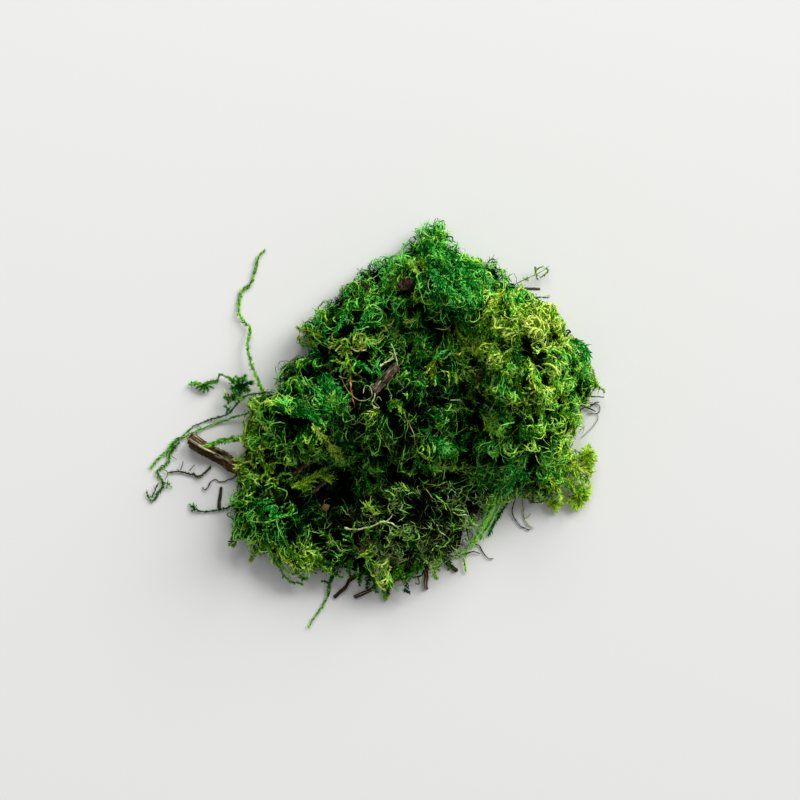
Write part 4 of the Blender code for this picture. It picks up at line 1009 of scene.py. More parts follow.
# Locks that stand out on top: kind, reach of the side shoots (mm), hue, tone, then the route.
LOCKS = read_table("""
emerald 1.5 0.3 0.95 6,72.5 6.8,67 8.5,61
emerald 1.5 0.45 0.85 8.8,72 9.5,67.5 12,62.5
emerald 1.4 0.35 0.8 4,70.5 4.5,65.5 5,59.5
leaf 1 0.7 1 10.5,71.5 9,70 7,69.5
leaf 1.7 0.4 0.64 39,-1.5 42,-4.5 45.5,-8.5
emerald 1.5 0.3 0.6 37.5,-6 42,-6.5 46.5,-5
leaf 1.5 0.6 0.7 41,-9.5 43.5,-6 47,-2.5
leaf 1.3 0.2 1 1.4,-16.8 5.5,-19 10.5,-20.6
leaf 1.4 0.3 0.9 -20.5,-20.5 -17,-24.5 -15.5,-30
leaf 1.3 0.4 0.85 -13.5,-21.5 -12.5,-26 -9.5,-30.5
emerald 1.3 0.4 0.75 -23,-23.5 -20.5,-28 -21.5,-33
emerald 1.7 0.35 0.78 7.3,69.2 12.2,59.4 18.6,50.7
emerald 1.7 0.45 0.7 9.6,70.7 16,60.9 24.7,51.8
emerald 1.6 0.3 0.72 4.3,67.6 6.5,56.3 10.7,46.5
leaf 1.6 0.5 0.66 2,63.9 -3.3,55.6 -9.3,48.8
leaf 1.5 0.4 0.62 -1,59.5 -7.8,51.2 -15.4,45.1
emerald 1.3 0.4 0.9 -5.2,48.2 -5.9,42.5 -5.6,36.1
yellow 0.9 0.5 0.7 0.9,65.3 2.8,61.2 5.4,56.7
yellow 1.4 0.3 0.72 -1.8,46.6 3.2,45.9 8.8,44.3
leaf 1.5 0.5 0.78 8.1,47.8 12.6,47 17.6,45.1
emerald 1.6 0.4 0.66 13.1,45.2 17.6,39.9 21.8,33.4
emerald 1.6 0.4 0.7 15,57.4 21.8,50.5 27.1,42.9
leaf 1.3 0.4 0.6 21.9,21.3 23,12.9 24.5,4.9
leaf 1.3 0.5 0.62 27.2,22.4 29.1,14.1 29.9,6.1
leaf 1.3 0.45 0.6 32.2,22.1 33.3,13.3 32.5,5.3
emerald 1.8 0.4 0.74 36.2,28.1 39.3,25.4 42.3,22
emerald 1.7 0.4 0.74 35.6,13.7 38.6,11.4 42.1,8.7
emerald 1.6 0.35 0.72 31.9,3.4 34.5,1.1 37.2,-2
emerald 2.1 0.2 1.05 6.4,-6.8 9.7,-9 12.8,-11.1 16.2,-13
emerald 1.4 0.2 1.05 41.8,-15.9 38.3,-23.6 33.7,-31.7
emerald 1.5 0.4 0.74 51.8,-18.8 54.6,-21.1 57.7,-23.5
emerald 2.2 0.35 0.76 -48.3,7.2 -43.6,3.3 -38.2,-0.2
emerald 2 0.3 0.72 -46.6,2.6 -41.6,1 -36.5,2.2
emerald 2 0.3 0.78 -62.8,-37.9 -58.1,-36.3 -53,-34.7
emerald 2 0.35 0.8 -61.2,-41.4 -56.5,-39.8 -51.1,-37.1
emerald 1.6 0.35 0.72 -64.8,-34 -59.7,-33.6 -55,-32
leaf 1.6 0.6 0.86 -30.8,6.4 -28.2,5.3 -24.7,3.8
leaf 1.5 0.5 0.8 -10.5,3.4 -7.8,4.5 -4.4,5.7
emerald 1.6 0.3 0.46 57.3,23.9 60.4,21.9 63.9,20
lime 2 0.3 0.72 57.3,2.9 60.8,1 64.3,-0.9
lime 2 0.5 0.8 65.7,-12.9 68.5,-16 70.8,-19.6
lime 1.9 0.4 0.78 61.7,-27.3 64.9,-29.6 68.5,-31.2
lime 1.7 0.3 0.78 51.3,43.2 53.6,40.5 55.6,37
lime 1.6 0.3 0.72 -48.5,-25.2 -44.6,-26.7 -40.7,-27.5
yellow 1.2 0.5 0.72 -58.1,11.9 -62,2.1 -65.5,-6.8
yellow 1.4 0.4 0.68 -60.6,-15 -57.8,-17.8 -55.1,-20.9
yellow 1.4 0.5 0.7 -63.3,-7.6 -60.6,-10.7 -58.6,-14.2
yellow 1.4 0.4 0.72 -60.2,-6.1 -57.4,-8.8 -55.1,-11.9
yellow 1.3 0.5 0.7 36.7,51 32.9,46.4 29.1,41.9
yellow 1.5 0.4 0.7 -44.4,-52.6 -40.8,-55.4 -36.9,-58.5
leaf 1.5 0.4 0.6 -23.3,45.7 -28.7,39.5 -34.8,34.1
leaf 1.4 0.5 0.64 -15.5,50.9 -23.2,44 -29.3,38.6
leaf 1.4 0.6 0.66 3,-53.6 0.7,-59.1 -2.8,-64.6
leaf 1.6 0.6 0.7 -15.9,-58.7 -14.3,-64.3 -13.5,-69
leaf 1.1 0.6 0.7 -57.1,-45.9 -59.4,-50.6 -63.8,-53
leaf 0.9 0.7 0.7 -68.2,-40.3 -69.7,-45.5 -72.5,-50.2
emerald 0.9 0.1 0.95 -23.3,22.2 -21.7,21.4 -19.8,20.3 -17.9,18.7 -15.2,17.6
lime 0.9 0.2 0.95 -8.2,6.8 -6.3,5.7 -3.7,3
lime 2 0.2 0.85 52.6,43.2 54.9,41.6 55.8,37.9
lime 1.6 0.4 0.85 54.3,43.9 55.7,40.8 56.1,37.1
leaf 0.9 0.7 0.85 -53.3,-51.2 -52.2,-56.1 -51.2,-60.2 -48.7,-63 -45.5,-64.6 -43.1,-65.8
yellow 0.9 0.3 0.6 -47,-55.8 -45.6,-60.1 -43.7,-62.7 -41.5,-63.8
yellow 0.9 0.7 0.8 -59.2,-49.9 -61.9,-53.1 -63.9,-56.6
leaf 1 0.2 0.5 -26.5,-54.4 -28.5,-57.6 -31,-61 -33.5,-64.6 -35.5,-64.6
leaf 0.9 0.2 0.4 -18.2,-55.8 -19,-59.9 -20.3,-64.2 -21.2,-66.2
leaf 0.9 0.2 0.4 -15.8,-58.1 -17,-62.3 -18,-67.4
yellow 0.9 0.2 0.55 -8,-55.9 -6.8,-60.7 -8.4,-64.7 -9.6,-68.2
lime 1.3 0.3 0.85 11.7,-52 10.7,-54.8 9.2,-58.2 8.7,-61 8.8,-63.4
leaf 1.1 0.5 0.6 13.8,-54.5 14.7,-57.5 14,-59.4
yellow 0.9 0.2 0.6 -2.8,-55.9 -4.8,-60.7 -3.2,-65
leaf 0.9 0.1 0.42 -1.6,-62 -2.4,-66.6 -1.6,-69.4
yellow 1 0.6 0.8 -49.7,-49.9 -45.8,-54.3 -42,-58.5 -38.1,-61
yellow 1 0.8 0.85 -55.9,-47.9 -53,-52 -48.2,-56.7 -45.5,-59.2
leaf 1.1 0.6 0.7 -44.2,-47.9 -40.4,-52.9 -35.6,-56 -30.9,-57.6
leaf 1.1 0.4 0.6 -61.5,-20.4 -64,-25.1 -65.5,-29.9 -66.8,-33.5
yellow 0.9 0.5 0.6 -65.3,-39.9 -66.8,-44.1 -69.1,-47.6 -71,-50.7
leaf 1 0.5 0.65 3.1,-49.8 4.7,-54.3 3.1,-58.4 1.5,-61.2
leaf 1.1 0.6 0.6 -22.8,-49.7 -23.7,-54.4 -25,-58.5 -24.6,-62.2
leaf 1 0.4 0.7 42.3,-24.2 46.5,-26.7 50.6,-29.2 54.6,-30.4
yellow 0.9 0.3 0.7 46.2,-23.4 50.6,-25 54.9,-27.6 58.2,-28.7
yellow 0.9 0.4 0.6 40.5,-27.5 44.8,-30.9 49.1,-32.3 52.3,-32.7
yellow 1.3 0.5 0.75 15.9,38.7 17.7,33.5 20.8,28.5 24.6,24.2
yellow 1.3 0.4 0.7 19,39.8 21.1,34.3 24.2,29.3 27.8,25.6
yellow 1.2 0.35 0.65 13.7,35.7 15,30.4 17.7,25.5 21.1,21.1
leaf 1.3 0.6 0.72 21.9,40.7 25.3,36.5 28.3,31.9 30.4,27.1
emerald 1.5 0.25 0.85 4.5,60.5 8.1,54.6 12.6,49.5 17.1,45 22,39.7
emerald 1.6 0.3 0.85 9.3,69.9 13.1,63.9 17.8,59.4 22.2,53.4
emerald 1.5 0.2 0.8 6.9,65.5 10.5,59.2 14.9,54.2 20.4,49.2 24.2,44.6
emerald 1.5 0.25 0.8 1.3,57 4.3,51.1 8.8,45.7 13.5,41.5
emerald 1.5 0.4 0.85 19.5,61.3 24,57 29.1,54.5 33.6,50.3
emerald 1.4 0.25 0.75 -20.4,46.3 -24.2,41.4 -27.2,37.3 -29.4,32.6
emerald 1.4 0.25 0.75 -11,47.7 -14.1,43.4 -17.9,38.7 -20.2,34.8
emerald 1.9 0.2 0.85 -43.8,15 -38.8,11.8 -34.8,7.2 -31.7,2.6
emerald 1.8 0.25 0.8 -48.4,8 -43.4,5.7 -38.6,1.8 -34.9,-2.8
emerald 1.6 0.2 0.7 -31.9,-4.4 -28.1,-8.3 -24.1,-10.6 -20.4,-14.6
emerald 1.4 0.3 0.7 22.4,-4.5 19.3,-8.4 15.4,-11.4 12.3,-15.3
leaf 1.4 0.5 0.75 33.2,14.8 34.6,9.5 35.6,4.2 37.8,-0.4
leaf 1.5 0.5 0.8 44.2,11 46.9,6.4 48.7,1.1 52.1,-3.6
yellow 1.3 0.3 0.78 38.2,16.3 40.5,11 43.1,5.7 44.7,0.3
leaf 1.4 0.6 0.8 57.7,7.2 59.8,2.5 62.1,-2.2 63.8,-7.1
yellow 1.2 0.4 0.8 51.6,16.3 55.2,11.8 58.5,8 59.9,3.3
emerald 1.3 0.12 1 2.8,65.2 5.3,59 9.3,52.5 14.4,45.8 18.8,38.2
emerald 1.5 0.3 0.62 5.2,67.4 8,61.1 12.4,54.6 18,47.9 22.7,40.4
emerald 1.2 0.2 1.1 7.3,69.3 9.8,63 13.8,56.6 18.9,49.8 23.3,42.3
emerald 1.4 0.45 0.8 9.3,71.1 12.1,64.8 16.6,58.4 22.1,51.6 26.9,44.1
emerald 1.3 0.12 1 11.5,72.4 13.9,66.1 17.9,59.6 23.1,52.9 27.4,45.4
emerald 1.5 0.3 0.62 16.2,66.7 20.7,60.3 26.2,53.5 30.9,46
emerald 1.2 0.2 1.1 18.4,67.3 22.4,60.9 27.6,54.1 31.9,46.6
leaf 1.7 0.35 0.8 57.6,31.6 61.6,28 65.2,23.2 68.4,18
leaf 1.7 0.5 0.72 56,27.6 60.8,24 65.2,19.2 69.2,13.6
emerald 1.6 0.5 0.7 58.4,22 62.4,20.4 66.8,16.4
lime 2.2 0.6 1.15 56.8,-17.6 60.8,-18.8 64,-21.2 66,-24.4
lime 2.3 0.7 1.15 55.6,-21.6 60,-23.6 63.6,-26.8 65.2,-31.2
lime 2.2 0.6 1.15 58,-14.8 62.4,-15.2 66.8,-14.8 70,-13.2
lime 2 0.7 1.1 52.4,-22 55.6,-25.6 58,-30 59.2,-33.6
yellow 2 0.7 1.15 60,-19.2 64.4,-19.2 68.4,-20.8 70.8,-23.6
leaf 2 0.6 0.85 48,-19.6 53.2,-20 58,-21.2 62,-24
leaf 2 0.6 0.9 49.2,-14.8 54,-15.2 59.2,-16.8 63.6,-18
yellow 1.2 0.55 1 0.9,63.9 3.5,60.5 5.6,57 6.8,53.6
yellow 1.1 0.45 0.95 -2.5,62 0,58.5 2.5,54.8
lime 1.2 0.7 0.85 -35.5,32 -40.2,34 -45.2,36
yellow 1.2 0.6 0.85 -36.5,28.9 -40.6,30.2 -44.8,31.8
leaf 2.3 0.7 0.95 57,-19.8 61.6,-21.2 65.6,-22.8 69,-25
leaf 2.3 0.8 0.95 56,-23 60.6,-25 64.6,-27.4 67.6,-28.6
lime 2.2 0.6 1.15 59.6,-16.8 63.8,-18.4 67.8,-20.2 71,-21.8
leaf 2.2 0.7 0.95 52.8,-16.4 57.2,-18.2 61.6,-19.4
yellow 1.3 0.4 0.85 31,42.6 27.2,37.4 24.6,31.2 23.4,24.8
yellow 1.4 0.25 0.9 34,40.4 30.6,35.6 28,29.8 27,23.4
leaf 1.5 0.8 0.95 36.4,36.4 33.4,31.6 31.2,26 30.4,19.8
leaf 1.5 0.7 1 40.4,30.8 38.2,25.2 37.2,19.2 37.4,13
leaf 1.5 0.8 1 50.6,22 52.8,16.2 54.2,10 54.8,3.8
leaf 1.5 0.9 1 44,22.6 45.4,16.4 47.6,10.4 49.2,4.2
leaf 1 0.8 0.95 -57.6,-48.6 -55.2,-54 -51.2,-58.4 -46,-61.4
leaf 1 0.7 0.9 -50.8,-47.8 -47.6,-53 -43,-57 -37.8,-60.2
leaf 1 0.8 0.9 -38.6,-50 -36.6,-55.4 -32.8,-60 -27.8,-63
leaf 0.9 0.8 0.9 -12.6,-52.6 -11.8,-58 -13,-63.2
emerald 1.6 0.25 0.95 7.6,-10.6 11.2,-12.8 15,-14.6
leaf 1.7 0.8 1.15 25.4,2.6 28.6,0.2 31.2,-2.8 33.2,-6.6
leaf 1.6 0.9 1.15 27,-2 30.2,-4.2 34,-5.6
lime 1.3 0.3 0.85 29,3 31.8,0.4 33.6,-2.8
yellow 2.2 0.8 0.58 9.6,27.4 9,22.6 8,18.2 8.8,13.6
leaf 1.5 0.5 0.7 3.4,33 2,28.2 1.6,23.6
leaf 1.3 0.6 1.1 7.6,70 9.8,72.6 12,71.4
lime 1 0.3 0.95 8.8,71.6 10.6,73.2 12,71
emerald 1.2 0.15 1.1 44.8,-14.4 42,-20.4 38.6,-26 35.4,-31.2
emerald 1.2 0.25 1 39.4,-13.4 37.2,-18.8 34.6,-24.8 31.8,-30.6
""")
LOCK_KINDS = ("emerald", "leaf", "yellow", "lime")

# Fine dark and pale threads: finish, radius (mm), hue, tone, then the route.
FINE_THREADS = read_table("""
rotted 0.3 0.1 0.2 58.1,31.2 60.6,33.3 62.4,34.9
rotted 0.36 0.1 0.2 59.5,31.1 61.6,32.9 63,33.7
rotted 0.36 0.5 0.5 -9.3,-64.3 -7.4,-63.2 -5.3,-62.8 -2.9,-62.5 -0.8,-61.5
rotted 0.36 0.2 0.25 5.5,-57.8 3.4,-59.7 1.8,-61.6 0.2,-62.9
rotted 0.3 0.9 0.6 2.3,-63 1.3,-65.5
straw 0.2 0.1 0.9 1.1,-51.8 3.4,-46.7
straw 0.14 0.2 0.7 -32.8,15.8 -31.2,13.8 -30,11.8 -30.3,9.5 -31.1,8
straw 0.14 0.2 0.7 -31.6,16.5 -30.4,14.6 -29.2,12.6 -27.6,11.8
straw 0.18 0.1 0.6 -5.2,17.1 -5.6,14.4 -4.4,12.9 -3.3,12.1
straw 0.2 0.1 0.65 -9,13.3 -8.6,11 -7.8,8.7
straw 0.14 0 0.8 -13.9,6.8 -12.8,7.4 -12,7.2
straw 0.18 0.9 0.62 -3.3,1.9 -2.1,-1.5 -0.6,-6.5 0.5,-11.1
straw 0.2 0.4 0.9 14.9,7.2 17.3,6.8 20.1,6.4
straw 0.2 0.1 0.9 15.8,-36.3 18.6,-37.6 21.1,-39.5
straw 0.18 0.1 0.7 4.9,-26.9 6.8,-29.9 9.1,-32.7
straw 0.16 0.5 0.5 -32.4,-42.1 -33.3,-37.1 -34.9,-33.2 -32.5,-31.6
""")

# Bare pale stems that stand out on top: hue, tone, then the route.
PALE_THREADS = read_table("""
stem 0.5 0.8 -19.2,40.6 -16.2,41.8 -11.3,40.3 -6.7,36.1 -3.3,31.1
stem 0.4 0.8 -27.7,37.8 -25.4,36.2 -22.4,36.6
stem 0.5 0.78 -29.2,26.7 -18.9,28.6 -11.3,31.3
stem 0.4 0.8 -20,28.5 -20,33.4 -17.7,35.3
stem 0.4 0.82 6.9,52.9 7.3,46.9
stem 0.5 0.86 18.4,42.9 21.4,42.2
stem 0.4 0.8 8.8,34.5 15.3,37.5
stem 0.4 0.8 5.1,37.9 9.6,40.2
stem 0.9 0.68 -23.5,-0.4 -21.6,-1.6 -17,1.1
stem 0.5 0.9 -22.8,-8.1 -18.6,-7.7
stem 0.6 0.85 -11.7,-10.3 -9,-8.8
stem 0.5 0.85 -14.2,9.5 -15.4,5.7 -12.7,4.2
stem 0.4 0.75 -38.7,26.6 -36,28.5 -31.5,27.8 -28.8,25.5
stem 0.5 0.7 -24.6,5.3 -23,1.9 -19.2,-1.9
stem 0.4 0.7 -5.6,28.4 -3.3,23.9 -5.6,19.3
stem 0.4 0.75 -13.6,-3.5 -10.1,-10.8 -7.9,-16.5
stem 0.8 0.7 -3.3,2.6 -2.5,-2.3 -2.9,-8
stem 0.85 0.7 23.9,17.9 25.8,13.3 28.5,8
stem 0.9 0.6 22,13.3 23.5,8.7 26.2,5.7
stem 0.5 0.8 -43.3,14.9 -39.4,11.8 -36.4,8.7
stem 0.6 0.6 -23.5,-39.5 -26.2,-35.6 -28.1,-31.7
stem 0.4 0.7 -4.8,-43.2 -0.1,-40.9 5.3,-42.5
stem 0.4 0.7 7.6,-31.6 13,-33.9 15.4,-38.6
stem 0.4 0.65 22.4,-27.7 19.3,-32.4 20.8,-37
stem 0.5 0.6 2.2,-23 6.8,-26.1 13,-25.3
stem 0.6 0.85 35.1,33.8 38.9,36.8 43.5,35.3
stem 0.6 0.85 44.6,28.1 48.8,30.8 51.8,27.7
stem 0.7 0.8 41.2,17.9 45.8,20.2 50.7,17.9
stem 0.1 0.9 31.5,6.5 33.5,8.4 36.5,7.5 38.5,4 37.8,0
stem 0.1 0.85 32,7.5 30.8,4 32.5,1 35.5,-0.5
stem 0.2 0.85 34.5,8.2 39.5,5 41,1.5
""")

PALE_RADIUS = 0.15  # of the pale stems, in millimetres

# Nests of fibres caught in the mat: x, y, radius (mm), number, finish, hue, tone.
NESTS = (
    (-54.6, -29.8, 4.4, 70, "rotted_litter_fibres", 0.8, 0.42),
    (-17.5, -50.5, 5.0, 110, "dried_moss_stems", 0.85, 0.5),
    (-33.0, 19.0, 3.0, 40, "rotted_litter_fibres", 0.7, 0.4),
    (25.8, 16.8, 3.0, 36, "rotted_litter_fibres", 0.9, 0.6),
    (23.5, 15.0, 3.4, 30, "dried_moss_stems", 0.9, 0.5),
    (-24.0, -40.0, 3.6, 30, "rotted_litter_fibres", 0.6, 0.4),
)


def locks_parts(kind):
    """The locks of one kind that stand out on top or hang over the rim."""
    parts = []
    for number, (word, reach, hue, tone, *route) in enumerate(LOCKS):
        if word != kind:
            continue
        rng = np.random.default_rng(LOCK_SEED + number)
        line, ups = ground().over(route, 0.8)
        share = np.linspace(0, 1, len(line))
        line = line + ups * (-1.6 * (1 - share) ** 2 + 1.3 * np.sin(np.pi * share) + 0.3)[:, None]
        line = bent(line, 0.25, 8, rng)
        tones = tone * (0.75 + 0.4 * share) * (1 + 0.15 * np.sin(share * 9 + number))
        parts += fern_parts(line, ups, 0.24, (reach, 1.2 * reach, reach, 0.6 * reach), 1.05, hue, tones, rng)
    return parts


def thread_at(route, radius, hue, tone, seed):
    """One bare thread laid over the mat."""
    rng = np.random.default_rng(seed)
    line, ups = ground().over(route, 0.6)
    share = np.linspace(0, 1, len(line))
    line = line + ups * (1.2 + 0.9 * np.sin(np.pi * share) - 1.4 * share**6 - 1.4 * (1 - share) ** 6)[:, None]
    line = bent(line, 0.18, 8, rng)
    radii = (radius * (1 - 0.4 * share) * rng.uniform(0.8, 1.25, len(line)))[None]
    tones = tone * (1 + 0.15 * rng.normal(0, 1, len(line)))[None]
    return tubes(line[None], ups[None], radii, 5, np.array([hue]), tones)


def pale_thread_parts():
    """Bare pale stems that stand out on top."""
    return [
        thread_at(route, PALE_RADIUS, 0.6 * hue, 0.9 * tone, PALE_THREAD_SEED + number)
        for number, (_, hue, tone, *route) in enumerate(PALE_THREADS)
    ]


def fine_thread_parts(finish):
    """The traced fine threads of one finish."""
    return [
        thread_at(route, radius, hue, tone, FINE_THREAD_SEED + number)
        for number, (word, radius, hue, tone, *route) in enumerate(FINE_THREADS)
        if word == finish
    ]


def nest_parts(finish):
    """Small nests of dry fibres caught in the mat."""
    parts = []
    for number, (x, y, radius, count, its_finish, hue, tone) in enumerate(NESTS):
        if its_finish != finish:
            continue
        rng = np.random.default_rng(NEST_SEED + number)
        place, up = map(np.array, ground().top_at(x, y))
        up = unit(up)
        spot = place + rng.normal(0, radius * 0.42, (count, 3)) * (1, 1, 0.3)
        heading = unit(rng.normal(0, 1, (count, 3)) * (1, 1, 0.35))
        turn = unit(np.cross(heading, up) + rng.normal(0, 0.3, (count, 3)))
        size = rng.uniform(1.5, 4.5, (count, 1, 1))
        q = np.linspace(-0.5, 0.5, 7)[None, :, None]
        paths = spot[:, None] + size * (heading[:, None] * q + turn[:, None] * q**2 * rng.normal(0, 1.6, (count, 1, 1)))
        near = np.array([ground().tree.find_nearest(Vector(p))[0] for p in spot])
        paths += (near - spot)[:, None] + up * rng.uniform(-1.6, 0.9, (count, 1, 1))
        ups = np.tile(up, (count, 7, 1))
        radii = rng.uniform(0.1, 0.24, (count, 1)) * np.linspace(1, 0.5, 7)[None]
        hues = np.clip(hue + rng.normal(0, 0.12, count), 0.03, 0.9)
        parts.append(tubes(paths, ups, radii, 3, hues, tone * rng.uniform(0.5, 1.4, (count, 1)) * np.ones((1, 7))))
    return parts


# ---------------------------------------------------------------- strands, twigs and bark


def spline(route, pitch):
    """A smooth line through the route's points (x, y), with points about pitch apart."""
    known = np.array(route, float)
    padded = np.vstack([2 * known[0] - known[1], known, 2 * known[-1] - known[-2]])
    made = []
    for k in range(1, len(padded) - 2):
        p0, p1, p2, p3 = padded[k - 1 : k + 3]
        cuts = max(1, int(math.ceil(np.linalg.norm(p2 - p1) / pitch)))
        for t in np.arange(cuts) / cuts:
            made.append(
                0.5 * (2 * p1 + (p2 - p0) * t + (2 * p0 - 5 * p1 + 4 * p2 - p3) * t**2
                       + (3 * p1 - p0 - 3 * p2 + p3) * t**3)
            )
    made.append(known[-1])
    return np.array(made)


def centre_line(node_name, route, pitch, buried=5.0):
    """The middle of a strand's solid along its route, with a short end left inside the moss."""
    path = spline(route, pitch)
    points = points_of(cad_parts[node_name].data)
    gaps = np.linalg.norm(points[None, :, :2] - path[:, None], axis=2)
    heights = evened(points[np.argsort(gaps, axis=1)[:, :8], 2].mean(1))
    first = max(0, np.flatnonzero(gaps.min(1) < 1.8)[0] - int(buried / pitch))
    return np.column_stack([path, heights])[first:]


def bent(line, amount, size, rng):
    """A line with small kinks of its own."""
    length = np.arange(len(line))
    made = line.copy()
    for axis in range(3):
        for _ in range(3):
            wave = 2 * math.pi / (size * rng.uniform(0.6, 1.6))
            made[:, axis] += amount * rng.normal(0, 0.5) * np.sin(length * wave + rng.uniform(0, 6.3))
    return made


def line_length(line):
    """The length of a line of points."""
    return np.linalg.norm(np.diff(line, axis=0), axis=1).sum()


def spread(value, count):
    """A number, or several given along a line, for each of its points."""
    value = np.atleast_1d(np.asarray(value, float))
    return np.interp(np.linspace(0, 1, count), np.linspace(0, 1, len(value)), value)


def bare_parts(line, ups, radius, hue, tone, knobs, rng):
    """One bare stem with small knobs."""
    swell = 1 + knobs * np.maximum(0, rng.normal(0, 0.6, len(line))) + rng.normal(0, 0.08, len(line))
    radii = (radius * swell * (1 - 0.35 * np.linspace(0, 1, len(line)) ** 2))[None]
    tones = (spread(tone, len(line)) * (1 + 0.12 * np.sin(np.arange(len(line)) * 0.9)))[None]
    return [tubes(line[None], ups[None], radii, 6, spread(hue, len(line))[None], tones)]


def one_stem(line, ups, radius, hue, tone):
    """One line as a set of one path: the path, its ups, tapered radii, hues and tones."""
    radii = radius * (1 - 0.7 * np.linspace(0, 1, len(line)) ** 2)
    return line[None], ups[None], radii[None], spread(hue, len(line))[None], spread(tone, len(line))[None]


def leafy_parts(line, ups, radius, leaf, spacing, hue, tone, rng):
    """One leafy shoot: its stem and two ranks of small leaves."""
    rows = max(3, int(line_length(line) / spacing))
    paths, up, radii, hues, tones = one_stem(line, ups, radius, hue, tone)
    leaf = np.array([1.15 * leaf])
    return [
        tubes(paths, up, radii * 1.1, 5, hues, tones * 0.9),
        feather(paths, up, rows, leaf, leaf * 0.42, hues, tones, rng, "blade", row_tilt=0.4, even=True),
        feather(paths, up, rows, leaf * 0.8, leaf * 0.36, hues, tones * 0.85, rng, "blade", row_tilt=1.2, even=True),
    ]


def fern_parts(line, ups, radius, reach, spacing, hue, tone, rng):
    """A twice-divided frond. The reach of its side shoots, the hue and the tone may change along it."""
    paths, up, radii, hues, tones = one_stem(line, ups, radius, hue, tone)
    pairs = max(3, int(line_length(line) / spacing))
    one = np.array([1.0])
    return [
        tubes(paths, up, radii, 5, hues, tones * 0.8),
        *sprays(
            paths, up, pairs, spread(reach, len(line))[None], 0.6 * one, hues, tones, rng, 0.04, leaf=0.85 * one
        ),
    ]


STRAND_PITCH, TUFT_PITCH = 0.45, 0.4  # how far apart the points of a strand and of a tuft's lock are (mm)
TUFT_RADIUS = 0.16  # of the stem of a tuft's lock (mm)


def tuft_parts(line, ups, leaf, hue, tone, rng):
    """One lock of a tuft: leafy, and feathered too where its leaves are long."""
    tones = tone * rng.uniform(0.85, 1.35) * np.array([0.62, 1.3])
    dye = hue + rng.uniform(-0.1, 0.1)
    parts = leafy_parts(line, ups, TUFT_RADIUS, leaf, 0.45, dye, tones, rng)
    if leaf > 0.9:
        parts += fern_parts(line, ups, 0.1, (0.8 * leaf, 1.1 * leaf, 0.5 * leaf), 1.0, dye, tones, rng)
    return parts


# The forms of a strand's members: what makes them, and how many numbers they take.
FORMS = {"bare": (bare_parts, 4), "leafy": (leafy_parts, 5), "fern": (fern_parts, 5), "tuft": (tuft_parts, 3)}


def strand_parts(name, members, rng):
    """Every member of a strand: the first follows its solid and the others keep to the height of the first."""
    parts, spine = [], None
    for form, *values in members:
        make, count = FORMS[form]
        values, route = values[:count], values[count:]
        if form == "tuft":
            plans, radius, crest = [spline((route[0], tip), TUFT_PITCH) for tip in route[1:]], TUFT_RADIUS, 0.8
        else:
            plans, radius, crest = [spline(route, STRAND_PITCH) if route and parts else None], values[0], 0.3
        if spine is None:
            spine = centre_line(name, route, STRAND_PITCH)
        for plan in plans:
            line = spine
            if plan is not None:
                near = np.linalg.norm(plan[:, None] - spine[None, :, :2], axis=2).argmin(1)
                heights = evened(spine[near, 2])
                lift = rng.uniform(-0.1, 0.5) + crest * np.sin(np.linspace(0, 3.14, len(plan)))
                line = np.column_stack([plan, heights + lift])
            line = bent(line, 0.1, 10, rng)
            line[:, 2] = np.maximum(line[:, 2], FLOOR_CLEARANCE + radius)
            parts += make(line, np.tile([0.0, 0.0, 1.0], (len(line), 1)), *values, rng)
    return parts


